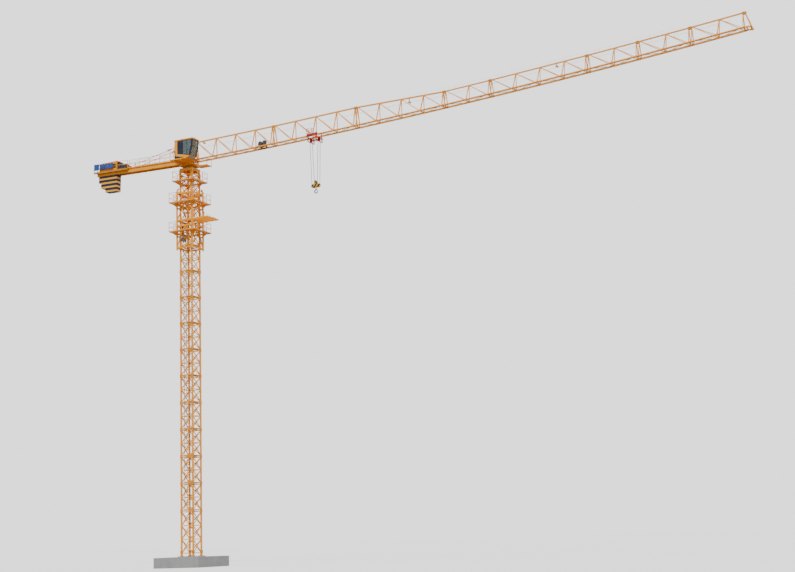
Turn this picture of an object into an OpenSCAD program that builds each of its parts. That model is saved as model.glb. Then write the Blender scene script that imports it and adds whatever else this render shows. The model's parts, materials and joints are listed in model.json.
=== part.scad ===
// Flat-top tower crane at half its real size, in millimetres.
// The origin is the middle of the foundation block's underside. +X points along the jib, +Z up.

/* [Foundation and mast] */
// Side of the square concrete block
block_side = 2760; // [2400:20:3200]
// Height of the concrete block
block_height = 530; // [400:10:700]
// Outer width of the square mast
mast_width = 795; // [760:5:830]
// Side of a mast leg
leg_size = 75; // [65:1:85]
// Height of one standard mast section
section_height = 1400; // [1350:10:1450]
// Height of the base section, from the block to the first standard section
base_height = 2335; // [2250:5:2400]
// Height of the shorter section under the lower support
head_section_height = 1165; // [1100:5:1250]
// Side of a mast diagonal
mast_brace = 34; // [28:1:40]
// Side of a mast horizontal
mast_rail = 42; // [38:1:50]
// Thickness of the plates that the fitters rest on inside the mast
rest_plate = 12; // [8:1:16]

/* [Climbing cage] */
// Distance between the cage's post centres
cage_width = 990; // [980:5:1040]
// Height of the cage
cage_height = 3420; // [3350:10:3450]
// Distance of the cage's foot below the lower support
cage_drop = 4200; // [4150:10:4250]
// Height of the cage's lower deck over its foot
lower_deck_rise = 970; // [940:10:1000]
// Height of the cage's upper deck over its foot
upper_deck_rise = 2560; // [2520:10:2580]
// Height of the introduction rails over the cage's foot
rails_rise = 1610; // [1580:10:1640]
// Distance of the mast's top deck below the lower support
top_deck_drop = 435; // [420:5:470]
// Side of a cage post
cage_post = 70; // [60:1:80]
// Side of the two cage platforms
cage_deck_side = 1620; // [1560:10:1700]
// Side of the platform at the top of the mast
top_deck_side = 1360; // [1300:10:1420]
// Height of the guard rails
rail_height = 550; // [500:10:600]
// Reach of the introduction rails from the mast's axis
rails_reach = 1500; // [1400:10:1600]

/* [Slewing part] */
// Height of the lower support
support_height = 320; // [280:5:360]
// Outer diameter of the slewing ring
ring_d = 690; // [640:5:720]
// Height of the slewing ring
ring_height = 60; // [50:1:70]
// Width of the tower head's bottom frame
head_width = 780; // [760:5:800]
// Top of the tower head over the jib's lower chords
head_rise = 1010; // [960:5:1060]

/* [Cab] */
// Length of the cab along the jib
cab_length = 1150; // [1130:5:1170]
// Width of the cab
cab_width = 600; // [560:5:640]
// Height of the cab
cab_height = 1030; // [1000:5:1050]
// Thickness of the cab's walls
cab_wall = 28; // [22:1:34]

/* [Jib] */
// Distance from the slewing axis to the jib's root
jib_root = 400; // [390:5:420]
// Length of one jib bay
bay = 1240; // [1220:5:1250]
// Height of the truss over its first two sections
truss_high = 1020; // [980:5:1040]
// Height of the truss from the fourth section on
truss_low = 760; // [730:5:780]
// Distance between the two lower chords
chord_spacing = 440; // [420:5:460]
// Side of a lower chord
low_chord = 70; // [62:1:74]
// Side of the upper chord
top_chord = 68; // [62:1:74]
// Distance by which a middle node of the upper chord leads the nodes below it
node_lead = 100; // [60:5:120]
// Side of a jib post
jib_post = 44; // [38:1:50]
// Side of a jib diagonal
jib_brace = 36; // [30:1:42]
// Radius of the arc that the cambered jib follows
camber_radius = 410000; // [380000:1000:440000]
// Distance behind the slewing axis where that arc would be level
camber_offset = 4800; // [4600:50:5000]
// Height of the lower chords' middle line, at its lowest, over the head's base
chord_rise = 236; // [225:1:250]

/* [Counter-jib] */
// Length of the counter-jib behind the slewing axis
counter_length = 6140; // [6120:5:6200]
// Depth of its girders
girder_depth = 205; // [190:5:220]
// Distance between the outer faces of its two girders
counter_width = 440; // [430:2:460]
// Width of a girder
girder_width = 50; // [44:2:54]
// Angle at which the counter-jib rises to the rear
counter_pitch = 1.4; // [0.8:0.1:2]
// Distance of its underside over the head's base, at the slewing axis
counter_rise = 145; // [140:1:150]
// Width of the deck at its rear
deck_width = 744; // [730:2:760]
// Height of the guard rails along it
counter_rail = 450; // [420:10:500]
// Thickness of one counterweight slab
slab_thickness = 156; // [150:1:158]
// Width of a counterweight slab
slab_width = 380; // [350:5:400]
// Height of a full counterweight slab under the girders
slab_drop = 940; // [900:5:980]
// Distance from the slewing axis to the first slab
slab_start = 4790; // [4770:5:4795]

/* [Trolley and hook] */
// Distance of the trolley from the slewing axis
trolley_reach = 7850; // [6000:50:9000]
// Length of the trolley frame
trolley_length = 640; // [620:5:680]
// Diameter of a trolley wheel
wheel_d = 110; // [100:2:120]
// Diameter of a rope sheave on the trolley
trolley_sheave = 110; // [104:2:116]
// Diameter of a rope sheave in the hook block
block_sheave = 130; // [124:2:140]
// Diameter of the hoist rope
rope_d = 24; // [20:0.5:25]
// Distance of the hook block's lower axles below the lower chords
hook_drop = 2650; // [2600:10:2800]
// Gap left between a moving piece and what it passes
clearance = 5; // [5:0.5:7]
// Gap left at a seat or a turning fit
fit_gap = 0.3; // [0.2:0.1:0.4]

/* [Hidden] */
$fn = 48;

leg_at = (mast_width - leg_size) / 2;
mast_base = block_height + base_height;
stack = 4;
head_base = mast_base + 3 * stack * section_height;
support_base = head_base + head_section_height;
support_top = support_base + support_height;
ring_top = support_top + ring_height;
turntable_base = ring_top + clearance;
turntable_height = 70;
frame_base = turntable_base + turntable_height + fit_gap;
frame_depth = 110;
chord_height = frame_base + chord_rise;
counter_height = frame_base + counter_rise;
platform_z = frame_base + 115;
cage_bottom = support_base - cage_drop;
head_rear = -360;
head_front = jib_root - fit_gap;
head_top = chord_height + head_rise;
section_bays = [4, 4, 4, 2, 4, 2, 2, 2];
half_chords = chord_spacing / 2;
rail_plate = 12;
rail_width = 40;
tie_foot = -3980;
tie_y = 200;
deck_plate = 25;

function sum_bays(n) = n == 0 ? 0 : section_bays[n - 1] + sum_bays(n - 1);
function section_start(n) = jib_root + sum_bays(n - 1) * bay;
function section_end(n) = section_start(n) + section_bays[n - 1] * bay;
function arc_z(x) = chord_height + camber_radius - sqrt(pow(camber_radius, 2) - pow(x + camber_offset, 2));
function arc_pitch(x) = asin((x + camber_offset) / camber_radius);
function hook_z() = arc_z(trolley_reach) - hook_drop;
function truss_height(x) =
    x <= section_end(2) ? truss_high :
    x >= section_end(3) ? truss_low :
    truss_high + (truss_low - truss_high) * (x - section_end(2)) / (section_end(3) - section_end(2));
function top_z(x) = arc_z(x) + truss_height(x);
// A point on the counter-jib, given along its own length and over its own underside
function counter_point(x, y, z) =
    [x * cos(counter_pitch) + z * sin(counter_pitch), y, counter_height - x * sin(counter_pitch) + z * cos(counter_pitch)];

// A bar of rectangular section from point a to point b, as deep as it is wide if no depth is given
module bar(a, b, width, depth = 0) {
    d = b - a;
    translate(a)
        rotate([0, acos(d[2] / norm(d)), atan2(d[1], d[0])])
            translate([0, 0, norm(d) / 2])
                cube([depth == 0 ? width : depth, width, norm(d)], center = true);
}

// A round bar from point a to point b
module round_bar(a, b, diameter, sides = 12) {
    d = b - a;
    translate(a)
        rotate([0, acos(d[2] / norm(d)), atan2(d[1], d[0])])
            cylinder(h = norm(d), d = diameter, $fn = sides);
}

// A box given by its lowest corner and its highest corner
module box(low, high) {
    translate(low) cube(high - low);
}

// Bracing of one square bay on the four faces of the mast, from height z0 to z1
module mast_bay(z0, z1) {
    for (turn = [0:90:270])
        rotate([0, 0, turn]) {
            bar([-leg_at, -leg_at, z0], [leg_at, -leg_at, z1], mast_brace);
            bar([leg_at, -leg_at, z0], [-leg_at, -leg_at, z1], mast_brace);
        }
}

// Square of horizontals round the mast at height z
module mast_ring(z, size = mast_rail) {
    for (turn = [0:90:270])
        rotate([0, 0, turn])
            bar([-leg_at, -leg_at, z], [leg_at, -leg_at, z], size);
}

// Four legs from height z0 to z1
module mast_legs(z0, z1, size = leg_size) {
    for (x = [-leg_at, leg_at], y = [-leg_at, leg_at])
        translate([x - size / 2, y - size / 2, z0])
            cube([size, size, z1 - z0]);
}

// One mast section with two crossed bays and bolted sleeves at its ends
module mast_section(low, high) {
    middle = (low + high) / 2;
    sleeve = 70;
    mast_legs(low, high);
    mast_legs(low, low + sleeve, leg_size + 22);
    mast_legs(high - sleeve, high, leg_size + 22);
    mast_bay(low + mast_rail, middle);
    mast_bay(middle, high - mast_rail);
    for (z = [low + mast_rail, high - mast_rail])
        mast_ring(z);
    mast_ring(middle, mast_brace + 3);
}

// The standard sections of one stack, numbered from 0 at the bottom of the mast
module mast_stack(first) {
    for (i = [first:first + stack - 1])
        mast_section(mast_base + i * section_height + fit_gap, mast_base + (i + 1) * section_height);
}

module foundation_block() {
    color("lightslategray")
        box([-block_side / 2, -block_side / 2, 0], [block_side / 2, block_side / 2, block_height]);
}

foot_height = 150;

module fixing_feet() {
    plate = 25;
    rib = foot_height;
    color("steelblue")
        for (x = [-leg_at, leg_at], y = [-leg_at, leg_at])
            translate([x, y, block_height + fit_gap]) {
                translate([-150, -150, 0]) cube([300, 300, plate]);
                translate([-leg_size / 2, -leg_size / 2, 0]) cube([leg_size, leg_size, rib]);
                for (turn = [0, 90])
                    rotate([90, 0, turn])
                        translate([0, 0, -10])
                            linear_extrude(20)
                                polygon([[-140, plate - 1], [140, plate - 1], [60, rib - 20], [-60, rib - 20]]);
            }
}

module base_section() {
    foot = block_height + foot_height + 2 * fit_gap;
    panel = (mast_base - foot - 2 * mast_rail) / 3;
    color("orange") {
        mast_legs(foot, mast_base);
        mast_legs(mast_base - 70, mast_base, leg_size + 22);
        for (i = [0:2])
            mast_bay(foot + mast_rail + i * panel, foot + mast_rail + (i + 1) * panel);
        for (i = [0:3])
            mast_ring(foot + mast_rail + i * panel);
    }
}

module mast_sections_lower() {
    color("orange") mast_stack(0);
}

module mast_sections_middle() {
    color("orange") mast_stack(stack);
}

module mast_sections_upper() {
    color("orange") mast_stack(2 * stack);
}

module mast_head_section() {
    color("orange") mast_section(head_base + fit_gap, support_base - fit_gap);
}

// One ladder for each standard section, hung on the inner side of the horizontals
module mast_ladders() {
    x = -leg_at + mast_rail / 2 + fit_gap;
    half = 105;
    length = section_height - 60;
    color("gray")
        for (i = [0:3 * stack - 1])
            translate([x, 0, mast_base + i * section_height + 30]) {
                for (y = [-half, half])
                    translate([0, y - 14, 0]) cube([16, 28, length]);
                for (rung = [60:150:length - 20])
                    translate([2, -half, rung]) cube([12, 2 * half, 12]);
            }
}

// A plate on the lowest horizontals of each section, open beside the ladder
module rest_platforms() {
    color("peru")
        for (i = [0:3 * stack - 1])
            translate([0, 0, mast_base + i * section_height + mast_rail * 1.5 + 2 * fit_gap])
                box([-230, -leg_at, 0], [290, leg_at, rest_plate]);
}

// A square deck round a square hole, with edge boards, brackets under it and a two-bar guard rail
module railed_deck(side, z, hole, posts) {
    half = side / 2;
    inset = half - 12;
    deck = 14;
    board = 60;
    reach = half - hole / 2;
    difference() {
        box([-half, -half, z], [half, half, z + board]);
        box([-half + 12, -half + 12, z + deck], [half - 12, half - 12, z + board + 10]);
        box([-hole / 2, -hole / 2, z - 10], [hole / 2, hole / 2, z + board + 10]);
    }
    for (turn = [0:90:270])
        rotate([0, 0, turn]) {
            for (x = [-hole / 2 + 50, hole / 2 - 50])
                translate([x - 12, 0, z])
                    rotate([90, 0, 90])
                        linear_extrude(24)
                            polygon([[-hole / 2, 3], [-half + 40, 3], [-half + 40, -25],
                                [-hole / 2 - 30, -reach * 0.6], [-hole / 2, -reach * 0.6]]);
            for (h = [rail_height / 2, rail_height])
                bar([-inset - 8, -inset, z + h], [inset + 8, -inset, z + h], 16);
            for (i = [0:posts - 1]) {
                x = -inset + 2 * inset * i / posts;
                bar([x, -inset, z + deck - 5], [x, -inset, z + rail_height + 10], 20);
            }
        }
}

module mast_top_platform() {
    color("orange") railed_deck(top_deck_side, support_base - top_deck_drop, mast_width + 2 * fit_gap, 3);
}

cage_at = cage_width / 2;
cage_outer = cage_at + cage_post / 2;

// Rounded shoulder plates over one cage post, one in each face
module cage_shoulder(z) {
    ear = 205;
    for (turn = [0, 90])
        rotate([90, 0, turn])
            translate([0, z, -9])
                linear_extrude(18)
                    difference() {
                        intersection() {
                            translate([cage_post / 2 - ear, 0]) circle(r = ear);
                            translate([-ear + 70, 0]) square([ear + 10, ear + 10]);
                        }
                        translate([cage_post / 2 - ear, 0]) circle(r = ear - 90);
                    }
}

module climbing_cage() {
    low = cage_bottom;
    high = cage_bottom + cage_height - 205;
    rings = [low + 120, low + rails_rise - 300, low + rails_rise, low + upper_deck_rise - 40, high - 100];
    shoes = [low + 700, low + 2250, high - 95];
    shoe = 90;
    color("orange") {
        for (x = [-cage_at, cage_at], y = [-cage_at, cage_at])
            translate([x - cage_post / 2, y - cage_post / 2, low])
                cube([cage_post, cage_post, high - low]);
        for (turn = [0:90:270])
            rotate([0, 0, turn]) {
                for (z = rings)
                    bar([-cage_at, -cage_at, z], [cage_at, -cage_at, z], 46, 80);
                for (i = [0, 2, 3])
                    for (s = [-1, 1])
                        bar([s * cage_at, -cage_at, rings[i]], [0, -cage_at, rings[i + 1]], 38);
                translate([cage_at, cage_at, high - 1]) cage_shoulder(0);
                for (z = shoes)
                    box([cage_at - 25, mast_width / 2 + fit_gap, z], [cage_at + 25, cage_at, z + shoe]);
                for (z = shoes)
                    box([mast_width / 2 - 60, mast_width / 2 + fit_gap, z + 10],
                        [cage_at, mast_width / 2 + fit_gap + 30, z + shoe - 10]);
            }
    }
}

module cage_upper_platform() {
    color("orange") railed_deck(cage_deck_side, cage_bottom + upper_deck_rise, 2 * (cage_outer + fit_gap), 4);
}

module cage_lower_platform() {
    color("orange") railed_deck(cage_deck_side, cage_bottom + lower_deck_rise, 2 * (cage_outer + fit_gap), 4);
}

// Rails on which a new mast section rolls in, with an upright and a stay on each side
module introduction_rails() {
    z = cage_bottom + rails_rise;
    near = cage_outer + fit_gap;
    half = cage_at;
    color("orange") {
        for (i = [0:4])
            box([near, -half + i * half / 2 - 18, z - 40], [rails_reach, -half + i * half / 2 + 18, z + 35]);
        for (x = [near + 300, near + 620, rails_reach - 36])
            box([x, -half, z - 25], [x + 36, half, z + 15]);
        for (y = [-half, half]) {
            box([near, y - 22, z - 60], [near + 40, y + 22, z + 560]);
            bar([near + 20, y, z + 545], [rails_reach - 18, y, z], 14);
        }
    }
}

// Lifting cylinder between the cage and the mast, hung from a ring of the cage over its crosshead
module climbing_cylinder() {
    x = -156;
    y = -(mast_width / 2 + cage_at - 23) / 2;
    head = cage_bottom + rails_rise - 340 - fit_gap;
    color("silver") {
        box([x - 50, -cage_at - 20, head - 30], [x + 50, y + 28, head]);
        translate([x, y, head - 450]) cylinder(h = 421, d = 56);
        translate([x, y, head - 700]) cylinder(h = 251, d = 34);
        box([x - 125, y - 29, head - 820], [x + 125, y + 29, head - 650]);
        box([x - 60, y - 29, head - 651], [x + 60, y + 29, head - 590]);
    }
}

module lower_support() {
    half = mast_width / 2;
    plate = 20;
    arch = 470;
    hole_x = 235;
    hole_z = support_base + 105;
    color("darkorange") {
        mast_legs(support_base, support_top - plate);
        difference() {
            for (turn = [0:90:270])
                rotate([0, 0, turn])
                    box([-half + 10, -half + 4, support_base + 30], [half - 10, -half + 4 + plate, support_top - 1]);
            for (turn = [0, 90])
                rotate([90, 0, turn])
                    translate([0, support_base - arch + 150, -half - 20])
                        cylinder(h = 2 * half + 40, r = arch, $fn = 64);
            translate([hole_x, -half + 40, hole_z]) rotate([90, 0, 0]) cylinder(h = 60, r = 26);
            translate([half - 40, -hole_x, hole_z]) rotate([0, 90, 0]) cylinder(h = 60, r = 26);
        }
        difference() {
            box([-half, -half, support_top - plate], [half, half, support_top]);
            translate([0, 0, support_top - plate - 5]) cylinder(h = plate + 10, d = 420);
        }
    }
}

module slewing_ring() {
    color("dimgray")
        difference() {
            translate([0, 0, support_top + fit_gap]) cylinder(h = ring_height, d = ring_d, $fn = 96);
            translate([0, 0, support_top - 1]) cylinder(h = ring_height + 10, d = 440);
        }
}

// Turning half of the slewing ring under the square plate that the tower head stands on
module turntable() {
    half = head_width / 2;
    low = support_top + ring_height + 2 * fit_gap;
    top = turntable_base + turntable_height;
    color("darkgoldenrod")
        difference() {
            union() {
                translate([0, 0, low]) cylinder(h = top - low - 5, d = ring_d, $fn = 96);
                box([head_rear - 40, -half, top - 22], [head_front, half, top]);
            }
            translate([0, 0, low - 1]) cylinder(h = top - low + 10, d = 440);
        }
}

// Lug for the near or far tie rod, a fork of two cheeks round the rod's eye with a pin through it
module tie_lug(height) {
    for (side = [-1, 1])
        translate([0, side * 23 + 8, 0])
            rotate([90, 0, 0])
                linear_extrude(16)
                    union() {
                        translate([-50, -height]) square([100, height]);
                        circle(r = 50);
                    }
    translate([0, 30, 0]) rotate([90, 0, 0]) cylinder(h = 60, r = 14);
}

tie_top = [head_rear - 100, head_top];
tie_low_z = girder_depth + 80;

module tower_head() {
    post = 70;
    front = head_front - post / 2;
    sill = 60;
    side = (head_width - sill) / 2;
    rail_z = frame_base + frame_depth / 2;
    chord_z = arc_z(jib_root);
    color("orange") {
        for (s = [-1, 1]) {
            box([head_rear - 40, s * side - sill / 2, frame_base],
                [head_front, s * side + sill / 2, frame_base + frame_depth]);
            for (x = [head_rear, front])
                bar([x, s * (side - 70), frame_base + frame_depth - 20], [x, s * half_chords, chord_z], post - 4);
            for (x = [head_rear, front])
                bar([x, s * half_chords, chord_z - 20], [x, s * 55, head_top], post - 8);
            box([head_rear - 40, s * half_chords - 31, chord_z - 34], [head_front, s * half_chords + 31, chord_z + 34]);
            bar([head_rear, s * half_chords, chord_z], [front, s * 55, head_top], 44);
        }
        for (x = [head_rear, front])
            box([x - post / 2, -side, frame_base + 10], [x + post / 2, side, frame_base + frame_depth - 10]);
        for (x = [head_rear, front])
            box([x - 27, -half_chords, chord_z - 28], [x + 27, half_chords, chord_z + 28]);
        box([head_rear - 45, -tie_y - 45, head_top - 30], [head_rear + 30, tie_y + 45, head_top + 25]);
        box([head_rear, -62, head_top - 25], [head_front - 1, 62, head_top + 20]);
        box([front - 33, -40, head_top - 40], [head_front, 40, top_z(jib_root) + 36]);
        for (s = [-1, 1])
            translate([tie_top[0], s * tie_y, tie_top[1]])
                rotate([0, -90, 0]) tie_lug(60);
    }
}

module slewing_motors() {
    color("gray")
        for (s = [-1, 1])
            translate([head_rear + 160, s * 125, frame_base]) {
                cylinder(h = 80, d = 140);
                translate([0, 0, 79]) cylinder(h = 200, d = 96);
            }
}

// Deck beside the head that carries the cab, on two cantilever beams
module cab_platform() {
    near = -1280;
    far = -head_width / 2 - fit_gap;
    rear = -390;
    front = 620;
    color("orange") {
        box([rear, near, platform_z + 8], [front, far, platform_z + 32]);
        for (x = [rear, front - 24])
            box([x, near, platform_z - 20], [x + 24, far, platform_z + 32]);
        box([rear, near, platform_z - 20], [front, near + 24, platform_z + 32]);
        for (x = [-200, 260])
            box([x, near + 20, platform_z - 75], [x + 60, far, platform_z + 9]);
        for (x = [rear + 12, cab_x - 30])
            bar([x, near + 12, platform_z + 30], [x, near + 12, platform_z + rail_height + 40], 20);
        for (h = [rail_height / 2, rail_height + 30])
            bar([rear + 2, near + 12, platform_z + h], [cab_x - 22, near + 12, platform_z + h], 16);
    }
}

cab_x = -130;
cab_y = -1215;
cab_z = platform_z + 32 + fit_gap;

// Side view of the cab with its walls moved in by the given amount
module cab_profile(inset) {
    polygon([
        [inset, inset],
        [inset, cab_height - inset],
        [cab_length - inset, cab_height - inset],
        [cab_length - inset - 20, cab_height - 420],
        [cab_length - 170 - inset * 0.8, 90 + inset * 0.5],
        [cab_length - 330, inset]
    ]);
}

// The cab's outline drawn out along Y from y0 to y1
module cab_body(inset, y0, y1) {
    translate([cab_x, y1, cab_z])
        rotate([90, 0, 0])
            linear_extrude(y1 - y0)
                cab_profile(inset);
}

// Openings of the cab's glazing, made smaller on every side by gap
module cab_windows(gap) {
    y0 = cab_y;
    y1 = cab_y + cab_width;
    left = 540 + gap;
    top = cab_height - 65 - gap;
    translate([cab_x, y1 + 5, cab_z])
        rotate([90, 0, 0])
            linear_extrude(cab_width + 10)
                polygon([[left, 212 + 1.2 * gap], [cab_length - 228 - gap, 130 + 1.2 * gap],
                    [cab_length - 90 - gap, cab_height - 420], [cab_length - 72 - gap, top], [left, top]]);
    box([cab_x + cab_length - 290 + gap, y0 + 45 + gap, cab_z + 125 + gap],
        [cab_x + cab_length + 5, y1 - 45 - gap, cab_z + top]);
}

module cab_shell() {
    y0 = cab_y;
    y1 = cab_y + cab_width;
    color("orange") {
        difference() {
            cab_body(0, y0, y1);
            cab_body(cab_wall, y0 + cab_wall, y1 - cab_wall);
            cab_windows(0);
        }
        box([cab_x - 15, y0 - 15, cab_z + cab_height - 30], [cab_x + cab_length + 15, y1 + 15, cab_z + cab_height + 12]);
    }
}

module cab_glass() {
    y0 = cab_y;
    y1 = cab_y + cab_width;
    pane = 8;
    color("lightblue")
        intersection() {
            difference() {
                cab_body(8, y0 + 8, y1 - 8);
                cab_body(8 + pane, y0 + 8 + pane, y1 - 8 - pane);
            }
            cab_windows(fit_gap);
        }
}

module operator_seat() {
    x = cab_x + 480;
    y = cab_y + cab_width / 2;
    floor_z = cab_z + cab_wall + fit_gap;
    color("dimgray") {
        translate([x, y, floor_z]) cylinder(h = 170, d = 90);
        box([x - 130, y - 130, floor_z + 165], [x + 130, y + 130, floor_z + 225]);
        box([x - 150, y - 120, floor_z + 215], [x - 95, y + 120, floor_z + 560]);
        for (s = [-1, 1])
            box([x - 60, y + s * 170 - 35, floor_z + 220], [x + 170, y + s * 170 + 35, floor_z + 330]);
        box([x - 60, y - 205, floor_z + 180], [x - 20, y + 205, floor_z + 222]);
    }
}

// Small platform hung from the head on the jib side, to reach the slewing ring's bolts
module ring_access_platform() {
    z = turntable_base - 62;
    x0 = 600;
    x1 = 1280;
    half = 225;
    plank = 68;
    arm_z = frame_base + 30;
    color("orange") {
        for (i = [0:3])
            box([x0 + 1, -half + 24 + i * 103, z + 22], [x1 - 1, -half + 24 + i * 103 + plank, z + 34]);
        for (y = [-half, half - 20])
            box([x0, y, z], [x1, y + 20, z + 50]);
        for (x = [x0, (x0 + x1) / 2, x1 - 20])
            box([x, -half, z], [x + 20, half, z + 24]);
        for (y = [-150, 150]) {
            box([head_front + fit_gap, y - 20, arm_z], [x0 + 37, y + 20, arm_z + 40]);
            box([x0, y - 17, z + 10], [x0 + 37, y + 17, arm_z + 20]);
        }
        for (y = [-half + 10, half - 10])
            bar([x1 - 10, y, z + 10], [x1 - 10, y, z + 330], 18);
        bar([x1 - 10, -half + 2, z + 322], [x1 - 10, half - 2, z + 322], 16);
    }
}

// A beam of the given depth that follows the jib's arc, offset upwards from it, in steps of half a bay
module arc_beam(x0, x1, y, width, low, high) {
    steps = max(1, round((x1 - x0) / (bay / 2)));
    at = [for (i = [0:steps]) x0 + (x1 - x0) * i / steps];
    translate([0, y + width / 2, 0])
        rotate([90, 0, 0])
            linear_extrude(width)
                polygon(concat([for (x = at) [x, arc_z(x) + low]],
                    [for (i = [steps:-1:0]) [at[i], arc_z(at[i]) + high]]));
}

// A level-sided beam of square section on the jib's middle plane, with upright ends
module straight_beam(x0, x1, z0, z1, size) {
    translate([0, size / 2, 0])
        rotate([90, 0, 0])
            linear_extrude(size)
                polygon([[x0, z0 - size / 2], [x1, z1 - size / 2], [x1, z1 + size / 2], [x0, z0 + size / 2]]);
}

// One truss section of the cambered jib: two lower chords with the trolley's rails, an upper chord,
// posts in pairs from each top joint, and diagonals that fall towards the tip
module jib_section(n) {
    x0 = section_start(n);
    x1 = section_end(n);
    bays = section_bays[n - 1];
    end = fit_gap / 2;
    collar = 45;
    post = n > 3 ? jib_post - 8 : jib_post;
    brace = n > 3 ? jib_brace - 8 : jib_brace;
    color("orange") {
        for (s = [-1, 1]) {
            outer = s * (half_chords + 33);
            inner = s * (half_chords - 46);
            arc_beam(x0 + end, x1 - end, s * half_chords, low_chord, -low_chord / 2, low_chord / 2);
            arc_beam(x0 + end, x1 - end, s * (half_chords + low_chord / 2 + rail_width / 2 - 2), rail_width,
                -low_chord / 2 + 6, -low_chord / 2 + 6 + rail_plate);
            for (x = [x0 + end, x1 - end - collar])
                box([x, min(inner, outer), arc_z(x + collar / 2) - 46],
                    [x + collar, max(inner, outer), arc_z(x + collar / 2) + 46]);
        }
        straight_beam(x0 + end, x1 - end, top_z(x0), top_z(x1), n > 3 ? top_chord - 8 : top_chord);
        for (x = [x0 + end, x1 - end - collar])
            box([x, -50, top_z(x + collar / 2) - 50], [x + collar, 50, top_z(x + collar / 2) + 50]);
        for (i = [0:bays]) {
            x = x0 + i * bay + (i == 0 ? 70 : i == bays ? -70 : 0);
            over = x + (i == 0 || i == bays ? 0 : node_lead);
            for (s = [-1, 1])
                bar([x, s * half_chords, arc_z(x)], [over, s * 12, top_z(over)], post);
            bar([x, -half_chords, arc_z(x)], [x, half_chords, arc_z(x)], 24);
        }
        for (i = [0:bays - 1]) {
            x = x0 + i * bay + (i == 0 ? 80 : 30);
            over = x + (i == 0 ? 40 : node_lead);
            next = x0 + (i + 1) * bay - (i == bays - 1 ? 100 : 40);
            side = i % 2 == 0 ? -1 : 1;
            for (s = [-1, 1])
                bar([over, s * 14, top_z(over) - 10], [next, s * half_chords, arc_z(next)], brace);
            bar([x, side * half_chords, arc_z(x)], [next, -side * half_chords, arc_z(next)], 18);
        }
    }
}

module jib_section_1() { jib_section(1); }
module jib_section_2() { jib_section(2); }
module jib_section_3() { jib_section(3); }
module jib_section_4() { jib_section(4); }
module jib_section_5() { jib_section(5); }
module jib_section_6() { jib_section(6); }
module jib_section_7() { jib_section(7); }
module jib_section_8() { jib_section(8); }

// End frame with the two return pulleys for the hoist rope and the trolley rope
module jib_tip() {
    x = section_end(8) + fit_gap / 2;
    z = arc_z(x);
    top = top_z(section_end(8));
    reach = 335;
    color("orange") {
        for (s = [-1, 1]) {
            box([x, s * half_chords - 28, z - 30], [x + reach, s * half_chords + 28, z + 30]);
            bar([x + 32, s * 14, top - 8], [x + reach - 50, s * half_chords, z + 14], 40);
        }
        box([x + 60, -half_chords, z - 22], [x + 100, half_chords, z + 22]);
        box([x + reach - 90, -half_chords, z - 26], [x + reach - 40, half_chords, z + 26]);
        box([x, -32, top - 34], [x + 50, 32, top + 30]);
        for (y = [-60, 48])
            box([x + reach - 100, y, z - 110], [x + reach - 10, y + 12, z + 20]);
        translate([x + reach - 55, 50, z - 75]) rotate([90, 0, 0]) cylinder(h = 100, d = 110);
    }
}

// Winch that hauls the trolley, on a frame across the lower chords
module trolley_winch() {
    x = 4650;
    half = half_chords + 20;
    color("dimgray")
        translate([x, 0, arc_z(x)])
            rotate([0, -arc_pitch(x), 0])
                translate([0, 0, low_chord / 2 + fit_gap]) {
                    for (dx = [-190, 150])
                        box([dx, -half, 0], [dx + 40, half, 30]);
                    box([-230, -120, 10], [230, 120, 38]);
                    for (y = [-115, 100])
                        box([-200, y, 30], [30, y + 15, 230]);
                    translate([-85, 105, 180]) rotate([90, 0, 0]) cylinder(h = 210, d = 230);
                    box([70, -90, 37], [220, 90, 300]);
                }
}

// Puts what is drawn along the counter-jib, with z = 0 at its underside, at its place and slope
module on_counter_jib() {
    translate([0, 0, counter_height]) rotate([0, counter_pitch, 0]) children();
}

ledge_z = 75;

module counter_jib() {
    outer = counter_width / 2;
    inner = outer - girder_width;
    front = head_rear - 40 - fit_gap - 9;
    middle = (outer + inner) / 2;
    color("orange") {
        for (s = [-1, 1])
            box([head_rear - 56 - fit_gap, s * middle - 33, counter_height + 8],
                [head_rear - 40 - fit_gap, s * middle + 33, counter_height + girder_depth + 14]);
        on_counter_jib() {
            for (s = [-1, 1])
                mirror([0, s > 0 ? 0 : 1, 0]) {
                    box([-counter_length, inner + 8, 8], [front, outer - 8, girder_depth - 8]);
                    for (z = [0, girder_depth - 14])
                        box([-counter_length, inner, z], [front, outer, z + 14]);
                    for (i = [0:5])
                        box([front - 60 - i * 745, inner + 3, 10], [front - 36 - i * 745, outer - 2, girder_depth - 10]);
                    box([-counter_length + 20, inner - 45, ledge_z - 15], [-slab_start + 40, inner + 9, ledge_z]);
                    translate([tie_foot, tie_y, tie_low_z]) tie_lug(140);
                }
            for (x = [-700, -1500, -2300, -3100, -3900, -4650])
                box([x - 25, -inner - 12, 60], [x + 25, inner + 12, 120]);
            box([-counter_length, -inner - 12, 40], [-counter_length + 50, inner + 12, girder_depth - 20]);
        }
    }
}

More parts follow.
